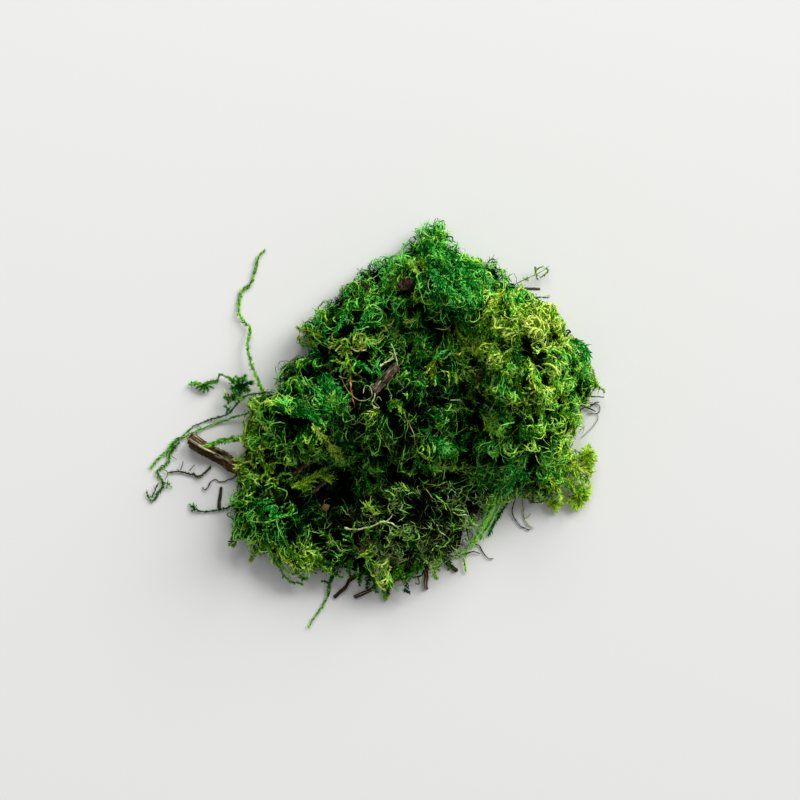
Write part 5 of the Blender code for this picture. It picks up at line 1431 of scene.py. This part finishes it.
# Strands: node and moss or stem, then every member with its form, its numbers and its route. A member without a
# route keeps to the first one.
# leafy: stem radius, leaf length, leaf spacing, hue, tone.  fern: stem radius, reach of the side shoots, their
# spacing, hue, tone.  bare: radius, hue, tone, knobs.  tuft: leaf length, hue, tone, and its middle and tips.
# The tones above 1 of near_trailing_shoot are painted light on a strand that lies in the shadow of the mat.
STRANDS = read_table("""
wavy_runner leaf
leafy 0.32 1.15 0.6 0.85,0.5 0.8,0.92,0.95 -53.4,2.5 -56.9,7 -60.1,12.5 -63.4,20 -65,25.6 -65.4,29.9 -64.6,35.5
-66.5,37.9 -69,41.5 -69,45.9 -68,50.4 -64.8,53.2 -62.6,59 -61.8,63.2 -58.9,67.3
forked_runner_stem leaf
leafy 0.3 0.9 0.9 0.7,0.95 0.62,0.5,0.42,0.45,0.55 -54.6,10.4 -58.3,9.8 -62.9,9.5 -65.8,8.9 -68.6,6.9 -70.8,4.4
-73.1,1.9 -76.5,0.5 -80,-0.4 -83.3,-1.6 -87.1,-3.2 -89.5,-5.3 -91.9,-7.6
forked_runner_outer leaf
leafy 0.3 1.15 0.5 0.3 0.7,0.9 -92,-7.6 -93.8,-8.6 -95.1,-9.6 -96.8,-11.9 -98.8,-14.2 -101.7,-16.7 -103.7,-19.3
forked_runner_inner leaf
leafy 0.27 1 0.55 0.6 0.5,0.7,0.55,0.6 -91.2,-7.8 -92.6,-9.4 -94.7,-11.4 -96.2,-13.4 -97.1,-16.2 -98,-18.2
-100,-19.9 -101.7,-21.3 -100.8,-23.6 -99.4,-25.6 -99.7,-27.6 -101.4,-29.9 -102.3,-32.1 -103.7,-33 -105.1,-31.9
-105.7,-30.4
leafy 0.22 0.8 0.6 0.7 0.5 -104.3,-31.9 -102.8,-29.3 -101.7,-26.4
bare 0.18 0.6 0.5 0.2 -100,-20.2 -98,-21.3 -97.7,-22.4 -98.6,-24.7
bare 0.16 0.5 0.5 0.2 -95.4,-13.3 -93.4,-13
bare 0.16 0.5 0.5 0.2 -96.3,-15 -94,-16.5
tuft 0.6 0.8 0.6 -97.4,-26.4 -98.8,-25.7 -97.8,-25.1 -96.2,-25.9 -96,-27.5 -98,-27.7
parallel_shoot leaf
leafy 0.25 0.9 0.6 0.5 0.6,0.75,0.8 -58.3,6.4 -61.5,4 -64.7,2.2 -68.6,1 -71.5,0.3 -74,-0.9 -76.6,-1.7 -80.1,-2.9
-83.4,-4.1 -86.3,-5.3
bare 0.15 0.7 0.6 0.2 -66.6,1.2 -66.9,2.9
leafy 0.22 0.9 0.6 0.5 0.8 -83.4,-4.1 -86.3,-5.3 -89,-6.4 -91.6,-8
upper_sprig leaf
leafy 0.22 0.8 0.7 0.6,0.3 0.4,0.45,0.5,0.8,0.9 -68.3,7.1 -68.3,9.6 -68.6,12.4 -70.2,14.1 -72.3,15.4 -74.8,16.9
-76.6,17.5 -77.4,15.5 -79.4,14.3 -81.7,13.6 -83.9,13.2 -86.2,13.7 -89,13.5
fern 0.26 0.6,1,0.5 0.7 0.3 1 -89.1,13.5 -86.3,13.7 -84,13.2 -81.8,13.7 -79.5,14.3 -77.5,14.6
tuft 0.9 0.3 0.62 -82.2,13.2 -84.6,11.2 -83.2,10.6 -81.4,11.2 -79.8,12.2 -85.8,12
bare 0.25 0.6 0.6 0.3 -77.2,16.3 -76.9,17.6 -74.9,16.9 -72.9,15.7 -71.2,14
tuft 1.2 0.3 0.5 -68.6,12.6 -72.1,15.5 -69.8,16.3 -66.4,16.3 -64.1,14 -65.2,11.2 -68.6,9.5 -71.5,11.7
bare 0.28 0.95 0.85 0.2 -75.2,11.7 -73.8,8.9
tuft 1 0.85 0.55 -71.5,8 -74.3,8 -73,6.4 -70,10 -68.2,7.6
tuft 0.8 0.5 0.5 -73.2,3.6 -74.3,4.9 -72.1,4.4 -73.8,2.1 -72.2,2.6
shoot_over_twig leaf
leafy 0.3 1.2 0.5 0.5 0.7,0.85,0.9 -57,-6 -63.5,-7 -67.9,-7.9 -71.5,-8.3 -76.5,-9.4 -81.8,-11
fern 0.2 1.7,1.3,0.7 0.7 0.45 0.75,0.9
thorny_sprig dried_moss_stems
bare 0.34 0.3 0.3,0.25,0.35 0.5 -80.2,-19.1 -83,-22.1 -85.6,-23.3 -87.4,-22.6 -89.7,-22.2 -92.6,-21.4 -96.8,-21.6
leafy 0.2 0.9 1.1 0.3 0.35
bare 0.18 0.3 0.3 0.2 -92.3,-20.7 -91.4,-17.3
bare 0.18 0.3 0.3 0.2 -88.9,-21 -86.9,-18.7
bare 0.22 0.9 0.4 0.2 -86.9,-21.9 -85.8,-23.9 -84,-23.6 -83.4,-21.6
brown_stem rotted_litter_fibres
bare 0.24 0.6 0.6 0.2 -67,-20.7 -70.6,-23.3 -74.2,-25.1 -77,-25.3 -79.2,-24.7 -80.8,-25.8 -82.3,-28.7 -84,-27.5
bare 0.17 0.7 0.55 0.2 -80.3,-25.3 -82.3,-28.7 -83.4,-27.7
near_left_sprig emerald
leafy 0.27 0.9 0.8 0.7 0.35,0.4,0.5 -70.2,-33.9 -73.8,-35.9 -77.2,-36.6 -80.1,-37.2 -82.9,-37.4 -85.6,-36.9
-87.8,-35.5
tuft 0.7 0.5 0.55 -87,-36.1 -88.6,-34.7 -88,-37.1 -86.2,-34.9 -85.2,-37.1 -87.4,-34.1
far_right_sprig yellow
bare 0.2 0.85 0.5,0.45,0.5 0.3 30,44 36.1,50.2 41.4,53.4 47.9,56.5 53.3,59.3
leafy 0.32 0.9 0.7 0.8 0.55 48.9,60.3 49.2,58.3 49.7,55.9
bare 0.34 0.85 0.52 0.3 48.9,58.3 50.5,59.7 52.5,60.5
leafy 0.34 0.8 0.7 0.75 0.55 53.5,59.9 54.2,58.5 52.9,57.2 51.5,56.1
bare 0.14 0.7 0.6 0.1 52.3,59.5 54.9,60.5
tuft 0.6 0.4 0.6 45.1,55.1 44.1,55.5 45.7,55.9 46.1,54.7
curled_shoot emerald
leafy 0.36 1.9 0.5 0.35 0.6,0.75,0.8 54,27.2 59.5,29.2 63.6,30.4 66.9,28.6 68.9,25.7 68,22.4
leafy 0.3 1.5 0.6 0.6 0.75 61.3,26.7 64.6,27.4 67,26.8 67.7,24.2
long_olive_shoot yellow
leafy 0.34 1 0.55 0.4 0.95,0.9,0.8 57,31 64.5,24 69.8,18.1 76,10.5
leafy 0.28 1 0.6 0.3 0.85 63,26.5 65.7,22.6 69.4,18.4 71.3,13.5
leafy 0.3 1 0.6 0.25 0.9 65.8,27.5 69,22.8 71.4,18.4 73.8,12.4
leafy 0.26 1 0.7 0.2 0.5 62.4,23.6 65.1,20.6 67.4,16.3 70.1,12.8
near_trailing_shoot leaf
leafy 0.38 0.95 0.45 0.1,0.3,0.6 1.1,1.3,1.4 36.2,-26.2 35.6,-29.4 34.6,-32.6 32,-36.6 30.2,-40 29,-43.7 26.8,-47.9
23.5,-51.7 21.6,-54.1 20.8,-56.5 21.1,-59.1 21.5,-60.7
bare 0.32 0.2,0.5 1.1,1.4 0.5 36.9,-24 35.9,-29.6 33.3,-34.2 30.9,-39 28.6,-43.2 26,-47.2 24.4,-51.6
bare 0.26 0.1,0.4 0.9,1.25 0.5 38.4,-26 36.4,-31 34,-36.4 31.6,-41 29.6,-45.4 28.4,-49
leafy 0.34 0.9 0.5 0.05,0.5 1.1,1.4 35.9,-29.1 32.5,-34.4 29.9,-39.5 27.5,-44.3 25.5,-47.5 23.1,-50.3 21.4,-52
leafy 0.34 0.9 0.5 0.05,0.4 1.05,1.35 33.5,-28.3 30.4,-33.5 29.1,-38.7 27.5,-42.3 25.9,-45.5 23.9,-49.5
leafy 0.24 1 0.5 0.05,0.3 0.9 35.1,-35.1 32.7,-38.3 30.7,-41.9 28.7,-45.1 27.5,-47.5
near_dark_shoot emerald
leafy 0.3 1.1 0.5 0.35 0.5,0.55,0.6 40.2,-27.9 38.8,-31.9 37.2,-35 35.6,-37.4 34.3,-39.8 32.9,-42.2 31.6,-44.6
30.9,-46.6
near_left_runner leaf
leafy 0.2 0.85 0.55 0.5,0.9 0.5,0.7,0.85 -30.3,-55.8 -31.1,-59.8 -32.3,-63.4 -33,-65.8 -33.5,-68.6 -34,-71.4
-34.9,-73.8 -36.7,-76.6 -39.1,-80 -41.3,-83.4
leafy 0.18 0.8 0.6 0.4 0.55 -30.5,-60.1 -32.3,-64.2 -32.7,-67.8 -33.3,-70.6
long_yellow_shoot yellow
leafy 0.36 1.3 0.55 0.7 0.7,0.9 36.4,50.6 32.4,46.6 27.8,40.6
fern 0.2 1.2,1.4,0.6 0.8 0.5 0.8
bright_frond emerald
fern 0.26 3.2,2.8,1.5 1.05 0.12 0.78,0.95 -37,15.8 -32.2,11.8 -28.8,8.3 -25.2,3.6
fern 0.22 2.4,1.3 1.1 0.2 0.9 -35.1,18.1 -32,14.6 -28.8,10.7 -26.7,7.2
olive_frond yellow
fern 0.34 1.6,2.1,2.5,1.4 0.85 0.6 0.9,1.1,1.15 -38.4,-1.8 -34.6,-6.9 -30.4,-11.9 -26.8,-18
lime_frond lime
fern 0.26 2.2,2,1.2 0.9 0.35 1.05,1.2 -47.5,-27.3 -42.6,-25.6 -38.3,-22.8 -33.8,-19.9
dark_blade emerald
leafy 0.3 0.7 0.6 0.3 0.5 40,44.5 46,47.6 54.2,48.1
bare 0.11 0.9 0.8 0 49.9,47.1 52.3,48.3 55.1,49.1
upper_right_frond lime
leafy 0.28 1.1 0.7 0.6 0.6,0.8,1 47.6,-22 54,-21.4 58.7,-20 62.7,-17.4 66.3,-15.4 69,-13.6 70.6,-12.1
tuft 1.3 0.5 1.05 69.4,-15.1 68,-12.4 70.2,-11.4 71.8,-13.1 72.8,-15.3 72,-17.9 70.6,-20.3 68.4,-18.9 67.2,-16.3
fern 0.2 1.6,1.9,0.8 0.8 0.5 1.05 66.6,-17.1 68.6,-15.1 70.6,-12.8
leafy 0.24 1.2 0.5 0.4 0.6,1 64.2,-19.5 67,-20.3 69,-22.3 70.2,-25.5
lower_right_frond lime
leafy 0.28 1.1 0.7 0.5 0.6,0.8,1 50.1,-23.8 55.7,-23.8 59.7,-24.6 63.3,-26.4 65.4,-29 66.4,-31.8 66.6,-35.2
tuft 1.3 0.45 1.05 66.2,-30.3 61.8,-33.5 63.4,-35.1 65.4,-36.1 67.6,-34.7 69.6,-32.7 70.6,-29.9 71,-27.5 68.2,-25.9
fern 0.22 1.8,2.2,1.2 0.8 0.45 1.05 63.8,-26.7 65.8,-29.5 65.8,-32.7 64.8,-35.5
leafy 0.24 1.1 0.6 0.5 0.95 56.8,-22 60.6,-23.1 63,-24.7 65,-27.5
near_right_frond lime
leafy 0.26 1 0.6 0.5 0.55,0.95 48.2,-25.5 52.2,-27.9 55,-30.7 56.6,-33.4 57.4,-36.4
tuft 1.2 0.45 1 56.6,-33.5 57.4,-36.9 55.4,-35.3 59.2,-34.3 54.1,-33.1 60.2,-30.7
near_hanging_frond leaf
fern 0.28 1.5,1.6,1.2,0.6 0.7 0.1,0.8 0.65,0.9 -15.2,-55 -13,-59 -11.8,-62.2 -10.6,-65.4 -10.1,-68.6 -10.7,-72.4
leafy 0.2 1 0.6 0.3 0.7 -15.8,-58.1 -14.3,-61.4 -12.3,-65.2 -11.4,-69.4
looped_thread dried_moss_stems
bare 0.17 0.35 0.8,0.72,0.6 0.1 -18.8,9.8 -18,12.6 -16,11.8 -15.6,8.4 -19,6.9 -22.4,8.4 -26.3,13.2 -28.4,19.7
bare 0.26 0.3 0.82 0.2 -14.5,9.9 -14.5,8 -15.4,6.4 -15,5.1 -13.5,4.2 -12.4,4.4
bare 0.24 0.4 0.8 0.2 -28.3,16.5 -27.1,15.7 -25.5,15.7
bare 0.14 0.3 0.6 0.1 -26.6,12.4 -24.8,13.6
bare 0.15 0.3 0.65 0.1 -19.6,18.7 -20.5,17.4 -21.9,16.4
yellow_strand yellow
bare 0.33 0.95 0.98,0.9,0.75 0.2 -23.9,27.6 -21.3,25.9 -18.1,28.2 -13.9,29.2 -10.8,31.3
leafy 0.2 0.9 0.7 0.6 0.75 -19.8,26.9 -17.1,29 -14.1,29.7 -11.4,32.1
bare 0.28 0.8 0.85 0.2 -29.5,25.9 -28.5,27.4 -27.3,28.4 -25.8,28.4 -24.5,27.6
bare 0.16 0.6 0.65 0.1 -24.1,27.4 -22.1,28 -20,28.8
bare 0.16 0.5 0.7 0.1 -20.7,34.1 -20.4,31.4 -20.8,29.5
tuft 0.9 0.6 0.72 -25.6,26.3 -28,25.3 -27,24.2 -25.1,23.6 -23.7,25.3 -26.6,27.8
leafy 0.26 0.9 0.6 0.6 0.75 -25.2,24.2 -25,21.9 -26,20.3 -27.6,21.5 -29.2,22.5 -30.7,22.3
pale_stem dried_moss_stems
bare 0.34 0 1.3,1.15,1.1,1.2 0.9 -26.5,-43.1 -23,-43.6 -19.5,-43.1 -15.2,-41.9 -12.5,-40.4 -8.7,-40.4 -6.5,-41.8
bare 0.2 0.1 0.95 0.3 -10.3,-40.1 -8.7,-38.7 -7.7,-37.4
bare 0.2 0.1 0.95 0.3 -8.3,-40.6 -6.4,-41.6 -5.2,-42.9
knobbed_stem dried_moss_stems
bare 0.34 0.75 1,0.95,0.85 0.6 -12.6,20.2 -9.7,21.9 -6.9,23.2
bare 0.21 0.05 0.85 0.5 -8.3,28.9 -7.3,26.9 -6.7,24.9 -6,22.2 -5.6,19.9 -5,17.9
bare 0.28 0.5 0.85 0.4 -9.4,22.2 -7.9,23.5 -7.3,24.9
bare 0.18 0.4 0.8 0.3 -8.8,25.7 -7.3,24.7 -6,25.3
red_stem dried_red_moss_stem
bare 0.38 0.5 0.3,0.75,0.6,0.85,0.55,0.75,0.4 0.15 -23.8,22.6 -23.9,16.3 -23.4,10.6 -22,4.2
side_thread dried_moss_stems
bare 0.2 0.1 0.3 0.1 60,5.6 67.7,4.9 71.7,5.6 74.8,5 74.6,2.2 70,1.6
bare 0.34 0.1 0.22 0.3 66.7,2.8 68.2,4 70.2,4 72.2,3.2 73.4,2.6
bare 0.26 0.2 0.3 0.2 70.6,4.4 72.2,5.4 73.8,6.4 74.8,6.2
bare 0.13 0.4 0.5 0.2 73.8,2 74.4,0 73.4,-2 71.4,-4.4 69.4,-6.4 67.4,-8
leafy 0.34 0.7 0.7 0.1 0.7 64.7,5.2 66.8,6.2 68.6,7.2 69.6,8.4 70.2,10
dark_side_stem rotted_litter_fibres
bare 0.28 0.2 0.3 0.3 60,9.5 66,9.2 71,8.6 76.5,8.4
bare 0.3 0.2 0.28 0.2 63.6,13.1 66.7,11.9 68.5,10.8
bare 0.26 0.2 0.28 0.2 64.5,10.7 63.7,8.8
near_thin_stem rotted_litter_fibres
bare 0.25 0.8 0.55,0.45,0.5 0.5 41.9,-28.3 41.3,-31.9 40.3,-35.1 40,-37.9 41.1,-40.3 43.1,-42.9 45.1,-44.1
47.1,-44.7
near_forked_stem dried_moss_stems
bare 0.24 0.6 0.6,0.75,0.7 0.5 43.5,-28.3 44.1,-33.9 44.5,-36.7 44.7,-39.1 45.4,-41.4 47,-43.1 48.7,-44.2
bare 0.17 0.6 0.7 0.2 45.1,-40.1 46.7,-39.3 47.5,-37.9
hooked_stem rotted_litter_fibres
bare 0.24 0.3 0.4 0.2 24.7,-50.1 26.9,-51.1 27.7,-52.6 28.9,-54.4 30.7,-56.2 32.5,-56.2
bare 0.3 0.2 0.3 0.4 15.8,-55 19,-54.7 21.5,-54 24.7,-53.4 27.1,-54.2
""")


def strands():
    """Every strand: its node, its moss or stem and its members."""
    made = []
    for row in STRANDS:
        if isinstance(row[1], str):
            made.append((row[0], row[1], [row[2:]]))
        else:
            made[-1][2].append(row)
    return made


# Twigs and sticks: node, finish, radius, ridges round, depth of the bark (mm), then the route.
TWIGS = read_table("""
dead_twig weathered_bark 2.3 7 0.4 -59,-25.5 -66,-21.8 -75.9,-16 -83,-12 -88.9,-8.5
bark_twig greyed_bark 1.45 6 0.3 -5.9,20.6 -10.8,15.1 -15.4,10
brown_twig greyed_bark 0.85 5 0.2 -46.8,-22.3 -42.8,-19.2 -39,-15.8
grey_stick greyed_bark 0.7 5 0.14 -39.7,-29.6 -36.2,-26.9 -33,-24.2
black_stick rotted_bark 0.48 4 0.14 -76.9,-36.7 -77.1,-34.4 -76.8,-31.9 -76.5,-29.5 -76.3,-27.3
far_right_stick greyed_bark 0.48 4 0.14 34,47.5 42.4,50.9 51,51.2
near_right_stick rotted_bark 0.58 4 0.2 8.8,-53.4 12,-56.2 14.8,-58.6 16.9,-60.2 18.3,-61.4
dark_near_stick rotted_bark 0.55 4 0.26 -16.4,-56.6 -19.2,-60 -22,-62.8 -24.8,-64.8 -26.3,-67.4 -28.1,-69.2
-29.9,-70.7 -31.3,-71.9
brown_near_stick weathered_bark 0.6 4 0.18 -14,-59.8 -13.8,-63.4 -14.6,-66.6 -16.4,-68.7 -20,-70.2 -23.4,-71.5
bark_near_twig weathered_bark 0.6 4 0.2 4.8,-56.6 5.4,-60.6 5.7,-63.8 5.4,-66.2 5.8,-68.8
""")

# Small bits: node, finish, cuts in each edge and depth of the wear (mm).
BITS = (
    ("bark_flake", "rotted_bark", 5, 0.6),
    ("bark_chip", "rotted_bark", 4, 0.4),
    ("seed_husk", "dried_seed_husk", 2, 0.08),
)
STICK_SIDES = 24
TWIG_PITCH = 0.5  # how far apart the points of a stick are (mm)
TORN = {"dead_twig": 2.2}  # how far the torn end of a twig slants (mm)


def stick_part(line, radius, ridges, depth, torn, rng):
    """A stick with ridged bark and closed, uneven ends."""
    sides = STICK_SIDES
    heading, side, up = (v[0] for v in frames_of(line[None], np.tile([0.0, 0.0, 1.0], (1, len(line), 1))))
    count = len(line)
    turn = np.linspace(0, 2 * math.pi, sides + 1)
    share = np.linspace(0, 1, count)
    reach = np.full((count, sides + 1), radius)
    for k in range(4):
        waves = ridges * (k + 1) // 2 + 1
        twist = rng.uniform(-1.5, 1.5)
        drift = np.cumsum(rng.normal(0, 0.12, count))
        reach += depth * 0.6**k * np.sin(waves * turn[None] + twist * share[:, None] * 3 + drift[:, None])
    reach[:, :-1] += rng.normal(0, depth * 0.35, (count, sides))
    reach[:, -1] = reach[:, 0]
    ends = np.minimum(1, np.minimum(np.arange(count), np.arange(count)[::-1]) / 1.5 + 0.35)
    ends[[0, -1]] = 0.02
    reach *= ends[:, None]
    points = line[:, None] + reach[..., None] * (
        side[:, None] * np.cos(turn)[:, None] + up[:, None] * np.sin(turn)[:, None]
    )
    if torn:
        near_end = np.clip((share - 0.86) / 0.14, 0, 1)[:, None, None]
        slant = (np.sin(turn) * 0.9 + 0.45 * np.sin(3 * turn + 1) + rng.normal(0, 0.15, sides + 1))[None, :, None]
        slant[:, -1] = slant[:, 0]
        points -= heading[:, None] * slant * near_end * torn
    places = np.stack(np.broadcast_arrays(turn[None] / (2 * math.pi), share[:, None]), -1)
    k, i = np.meshgrid(np.arange(count - 1), np.arange(sides), indexing="ij")
    a = k * (sides + 1) + i
    return points.reshape(-1, 3), halves(a, a + 1, a + sides + 2, a + sides + 1), places.reshape(-1, 2)


def worn_part(node_name, cuts, depth, seed):
    """A finer copy of a small solid with a worn surface."""
    shaped = bmesh.new()
    shaped.from_mesh(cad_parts[node_name].data)
    bmesh.ops.triangulate(shaped, faces=shaped.faces)
    points, normals, faces = made_finer(shaped, cuts, 0.35)
    points /= MM
    points += normals * (depth * slow_noise(points, 1.6, seed))[:, None]
    low, high = points.min(0), points.max(0)
    places = ((points - low) / (high - low))[:, :2] * 0.98 + 0.01
    return points, faces, places


# ---------------------------------------------------------------- operators


class MOSS_OT_stage(Operator):
    """Lays the pale floor, hangs the soft lights and sets the camera straight above"""

    bl_idname = "moss.stage"
    bl_label = "Stage"

    def execute(self, context):
        scene = context.scene
        half = 2.5
        mesh = bpy.data.meshes.new("floor")
        mesh.from_pydata([(-half, -half, 0), (half, -half, 0), (half, half, 0), (-half, half, 0)], [], [(0, 1, 2, 3)])
        floor = bpy.data.objects.new("floor", mesh)
        scene.collection.objects.link(floor)
        # White painted board, brushed: matt and very slightly warm.
        made, _, shader = new_material("white_painted_board", roughness=0.7)
        shader.inputs["Base Color"].default_value = (*colours().floor, 1.0)
        mesh.materials.append(made)

        world = bpy.data.worlds.new("soft_room")
        world.use_nodes = True
        air = world.node_tree.nodes["Background"].inputs
        air["Color"].default_value = (1.0, 1.0, 0.99, 1.0)
        air["Strength"].default_value = sizes().room_strength
        scene.world = world
        for name, place, size, power in (
            ("window_light", (7.5, 6.6, 5.7), 7.0, sizes().window_power),
            ("card_light", (-0.1, 1.5, 1.3), 1.0, sizes().card_power),
        ):
            light = bpy.data.lights.new(name, "AREA")
            light.size = size
            light.energy = power
            lamp = bpy.data.objects.new(name, light)
            lamp.location = place
            lamp.rotation_mode = "QUATERNION"
            lamp.rotation_quaternion = (-Vector(place)).to_track_quat("-Z", "Y")
            scene.collection.objects.link(lamp)

        lens = bpy.data.cameras.new("camera")
        lens.lens = 90.0
        lens.sensor_width = 36.0
        lens.clip_start = 0.05
        lens.clip_end = 20.0
        camera = bpy.data.objects.new("camera", lens)
        camera.location = (-0.0048, 0.0072, 0.8)
        scene.collection.objects.link(camera)
        scene.camera = camera
        scene.view_settings.view_transform = "Standard"
        return {"FINISHED"}


def mat_pieces(kinds, ending, make):
    """A piece of every kind of moss that stands for the mat."""
    for kind in kinds:
        _, start, slot = KINDS[kind]
        make_piece(f"{start}_{ending}", make(kind), moss_material(kind), ["moss_mat"])


class MOSS_OT_litter(Operator):
    """Makes the dense inside of the mat, near black as painted shade, seen only in the gaps"""

    bl_idname = "moss.litter"
    bl_label = "Litter inside"

    def execute(self, context):
        make_piece("packed_litter", litter_and_shade_parts(), litter_and_shade_material(), ["moss_mat"])
        return {"FINISHED"}


class MOSS_OT_deep_shoots(Operator):
    """Grows the shoots behind the ones on top, dark with painted shade"""

    bl_idname = "moss.deep_shoots"
    bl_label = "Deep shoots"

    def execute(self, context):
        make_piece("deep_shoots", deep_parts(), moss_material("inner"), ["moss_mat"])
        return {"FINISHED"}


class MOSS_OT_fronds(Operator):
    """Grows the feathery fronds of every kind of moss on top of the mat"""

    bl_idname = "moss.fronds"
    bl_label = "Fronds"

    def execute(self, context):
        mat_pieces(KINDS, "fronds", frond_parts)
        return {"FINISHED"}


class MOSS_OT_curly_shoots(Operator):
    """Grows the curly shoots of every kind of moss on top of the mat"""

    bl_idname = "moss.curly_shoots"
    bl_label = "Curly shoots"

    def execute(self, context):
        mat_pieces(KINDS, "shoots", lambda kind: curly_parts(kind) + wiry_parts(kind))
        return {"FINISHED"}


class MOSS_OT_threads(Operator):
    """Lays bare stems, pale threads and nests of fibres over the moss"""

    bl_idname = "moss.threads"
    bl_label = "Threads and nests"

    def execute(self, context):
        straw = moss_material("dried_moss_stems")
        parts = thread_parts() + pale_thread_parts() + fine_thread_parts("straw")
        make_piece("straw_threads", parts, straw, ["moss_mat"])
        make_piece("fluffy_nests", nest_parts("dried_moss_stems"), straw, ["moss_mat"])
        brown = moss_material("rotted_litter_fibres")
        parts = nest_parts("rotted_litter_fibres") + fine_thread_parts("rotted")
        make_piece("brown_nests", parts, brown, ["moss_mat"])
        return {"FINISHED"}


class MOSS_OT_locks(Operator):
    """Lays the single locks that stand out on top"""

    bl_idname = "moss.locks"
    bl_label = "Locks"

    def execute(self, context):
        mat_pieces(LOCK_KINDS, "locks", locks_parts)
        return {"FINISHED"}


class MOSS_OT_strands(Operator):
    """Grows the runners, shoots, fronds and bare stems that straggle out of the mat or lie on it"""

    bl_idname = "moss.strands"
    bl_label = "Strands"

    def execute(self, context):
        for number, (name, moss, members) in enumerate(strands()):
            parts = strand_parts(name, members, np.random.default_rng(STRAND_SEED + number))
            make_piece(name + "_strand", parts, moss_material(moss), [name])
        return {"FINISHED"}


class MOSS_OT_twigs(Operator):
    """Lays the twigs, sticks, bark chips and the husk"""

    bl_idname = "moss.twigs"
    bl_label = "Twigs and bark"

    def execute(self, context):
        for number, (name, bark, radius, ridges, depth, *route) in enumerate(TWIGS):
            rng = np.random.default_rng(TWIG_SEED + number)
            line = centre_line(name, route, TWIG_PITCH, buried=4.0)
            line = bent(line, radius * 0.06, 14, rng)
            part = stick_part(line, radius, ridges, depth, TORN.get(name, 0.0), rng)
            make_piece(name + "_bark", [part], bark_material(bark), [name])
        for number, (name, bark, cuts, depth) in enumerate(BITS):
            part = worn_part(name, cuts, depth, BIT_SEED + number)
            make_piece(name + "_worn", [part], bark_material(bark), [name])
        return {"FINISHED"}


OPERATORS = (
    MOSS_OT_stage, MOSS_OT_litter, MOSS_OT_deep_shoots, MOSS_OT_fronds, MOSS_OT_curly_shoots, MOSS_OT_threads,
    MOSS_OT_locks, MOSS_OT_strands, MOSS_OT_twigs,
)


class MOSS_PT_panel(Panel):
    """The settings and steps of the moss clump"""

    bl_idname = "MOSS_PT_panel"
    bl_label = "Moss clump"
    bl_space_type = "VIEW_3D"
    bl_region_type = "UI"
    bl_category = "Moss"

    def draw(self, context):
        for group in (context.scene.moss_sizes, context.scene.moss_colours):
            box = self.layout.box()
            for name in group.__annotations__:
                box.prop(group, name)
        for operator in OPERATORS:
            self.layout.operator(operator.bl_idname)


CLASSES = (MossColours, MossSizes, *OPERATORS, MOSS_PT_panel)


def register():
    """Registers the classes and hangs the settings on the scene."""
    for made in CLASSES:
        bpy.utils.register_class(made)
    bpy.types.Scene.moss_colours = PointerProperty(type=MossColours)
    bpy.types.Scene.moss_sizes = PointerProperty(type=MossSizes)


def unregister():
    """Takes the settings and classes away again."""
    del bpy.types.Scene.moss_sizes
    del bpy.types.Scene.moss_colours
    for made in reversed(CLASSES):
        bpy.utils.unregister_class(made)


def main():
    """Makes the stage and every piece."""
    register()
    bpy.ops.moss.stage()
    bpy.ops.moss.litter()
    bpy.ops.moss.deep_shoots()
    bpy.ops.moss.fronds()
    bpy.ops.moss.curly_shoots()
    bpy.ops.moss.threads()
    bpy.ops.moss.locks()
    bpy.ops.moss.strands()
    bpy.ops.moss.twigs()


if __name__ == "__main__":
    main()
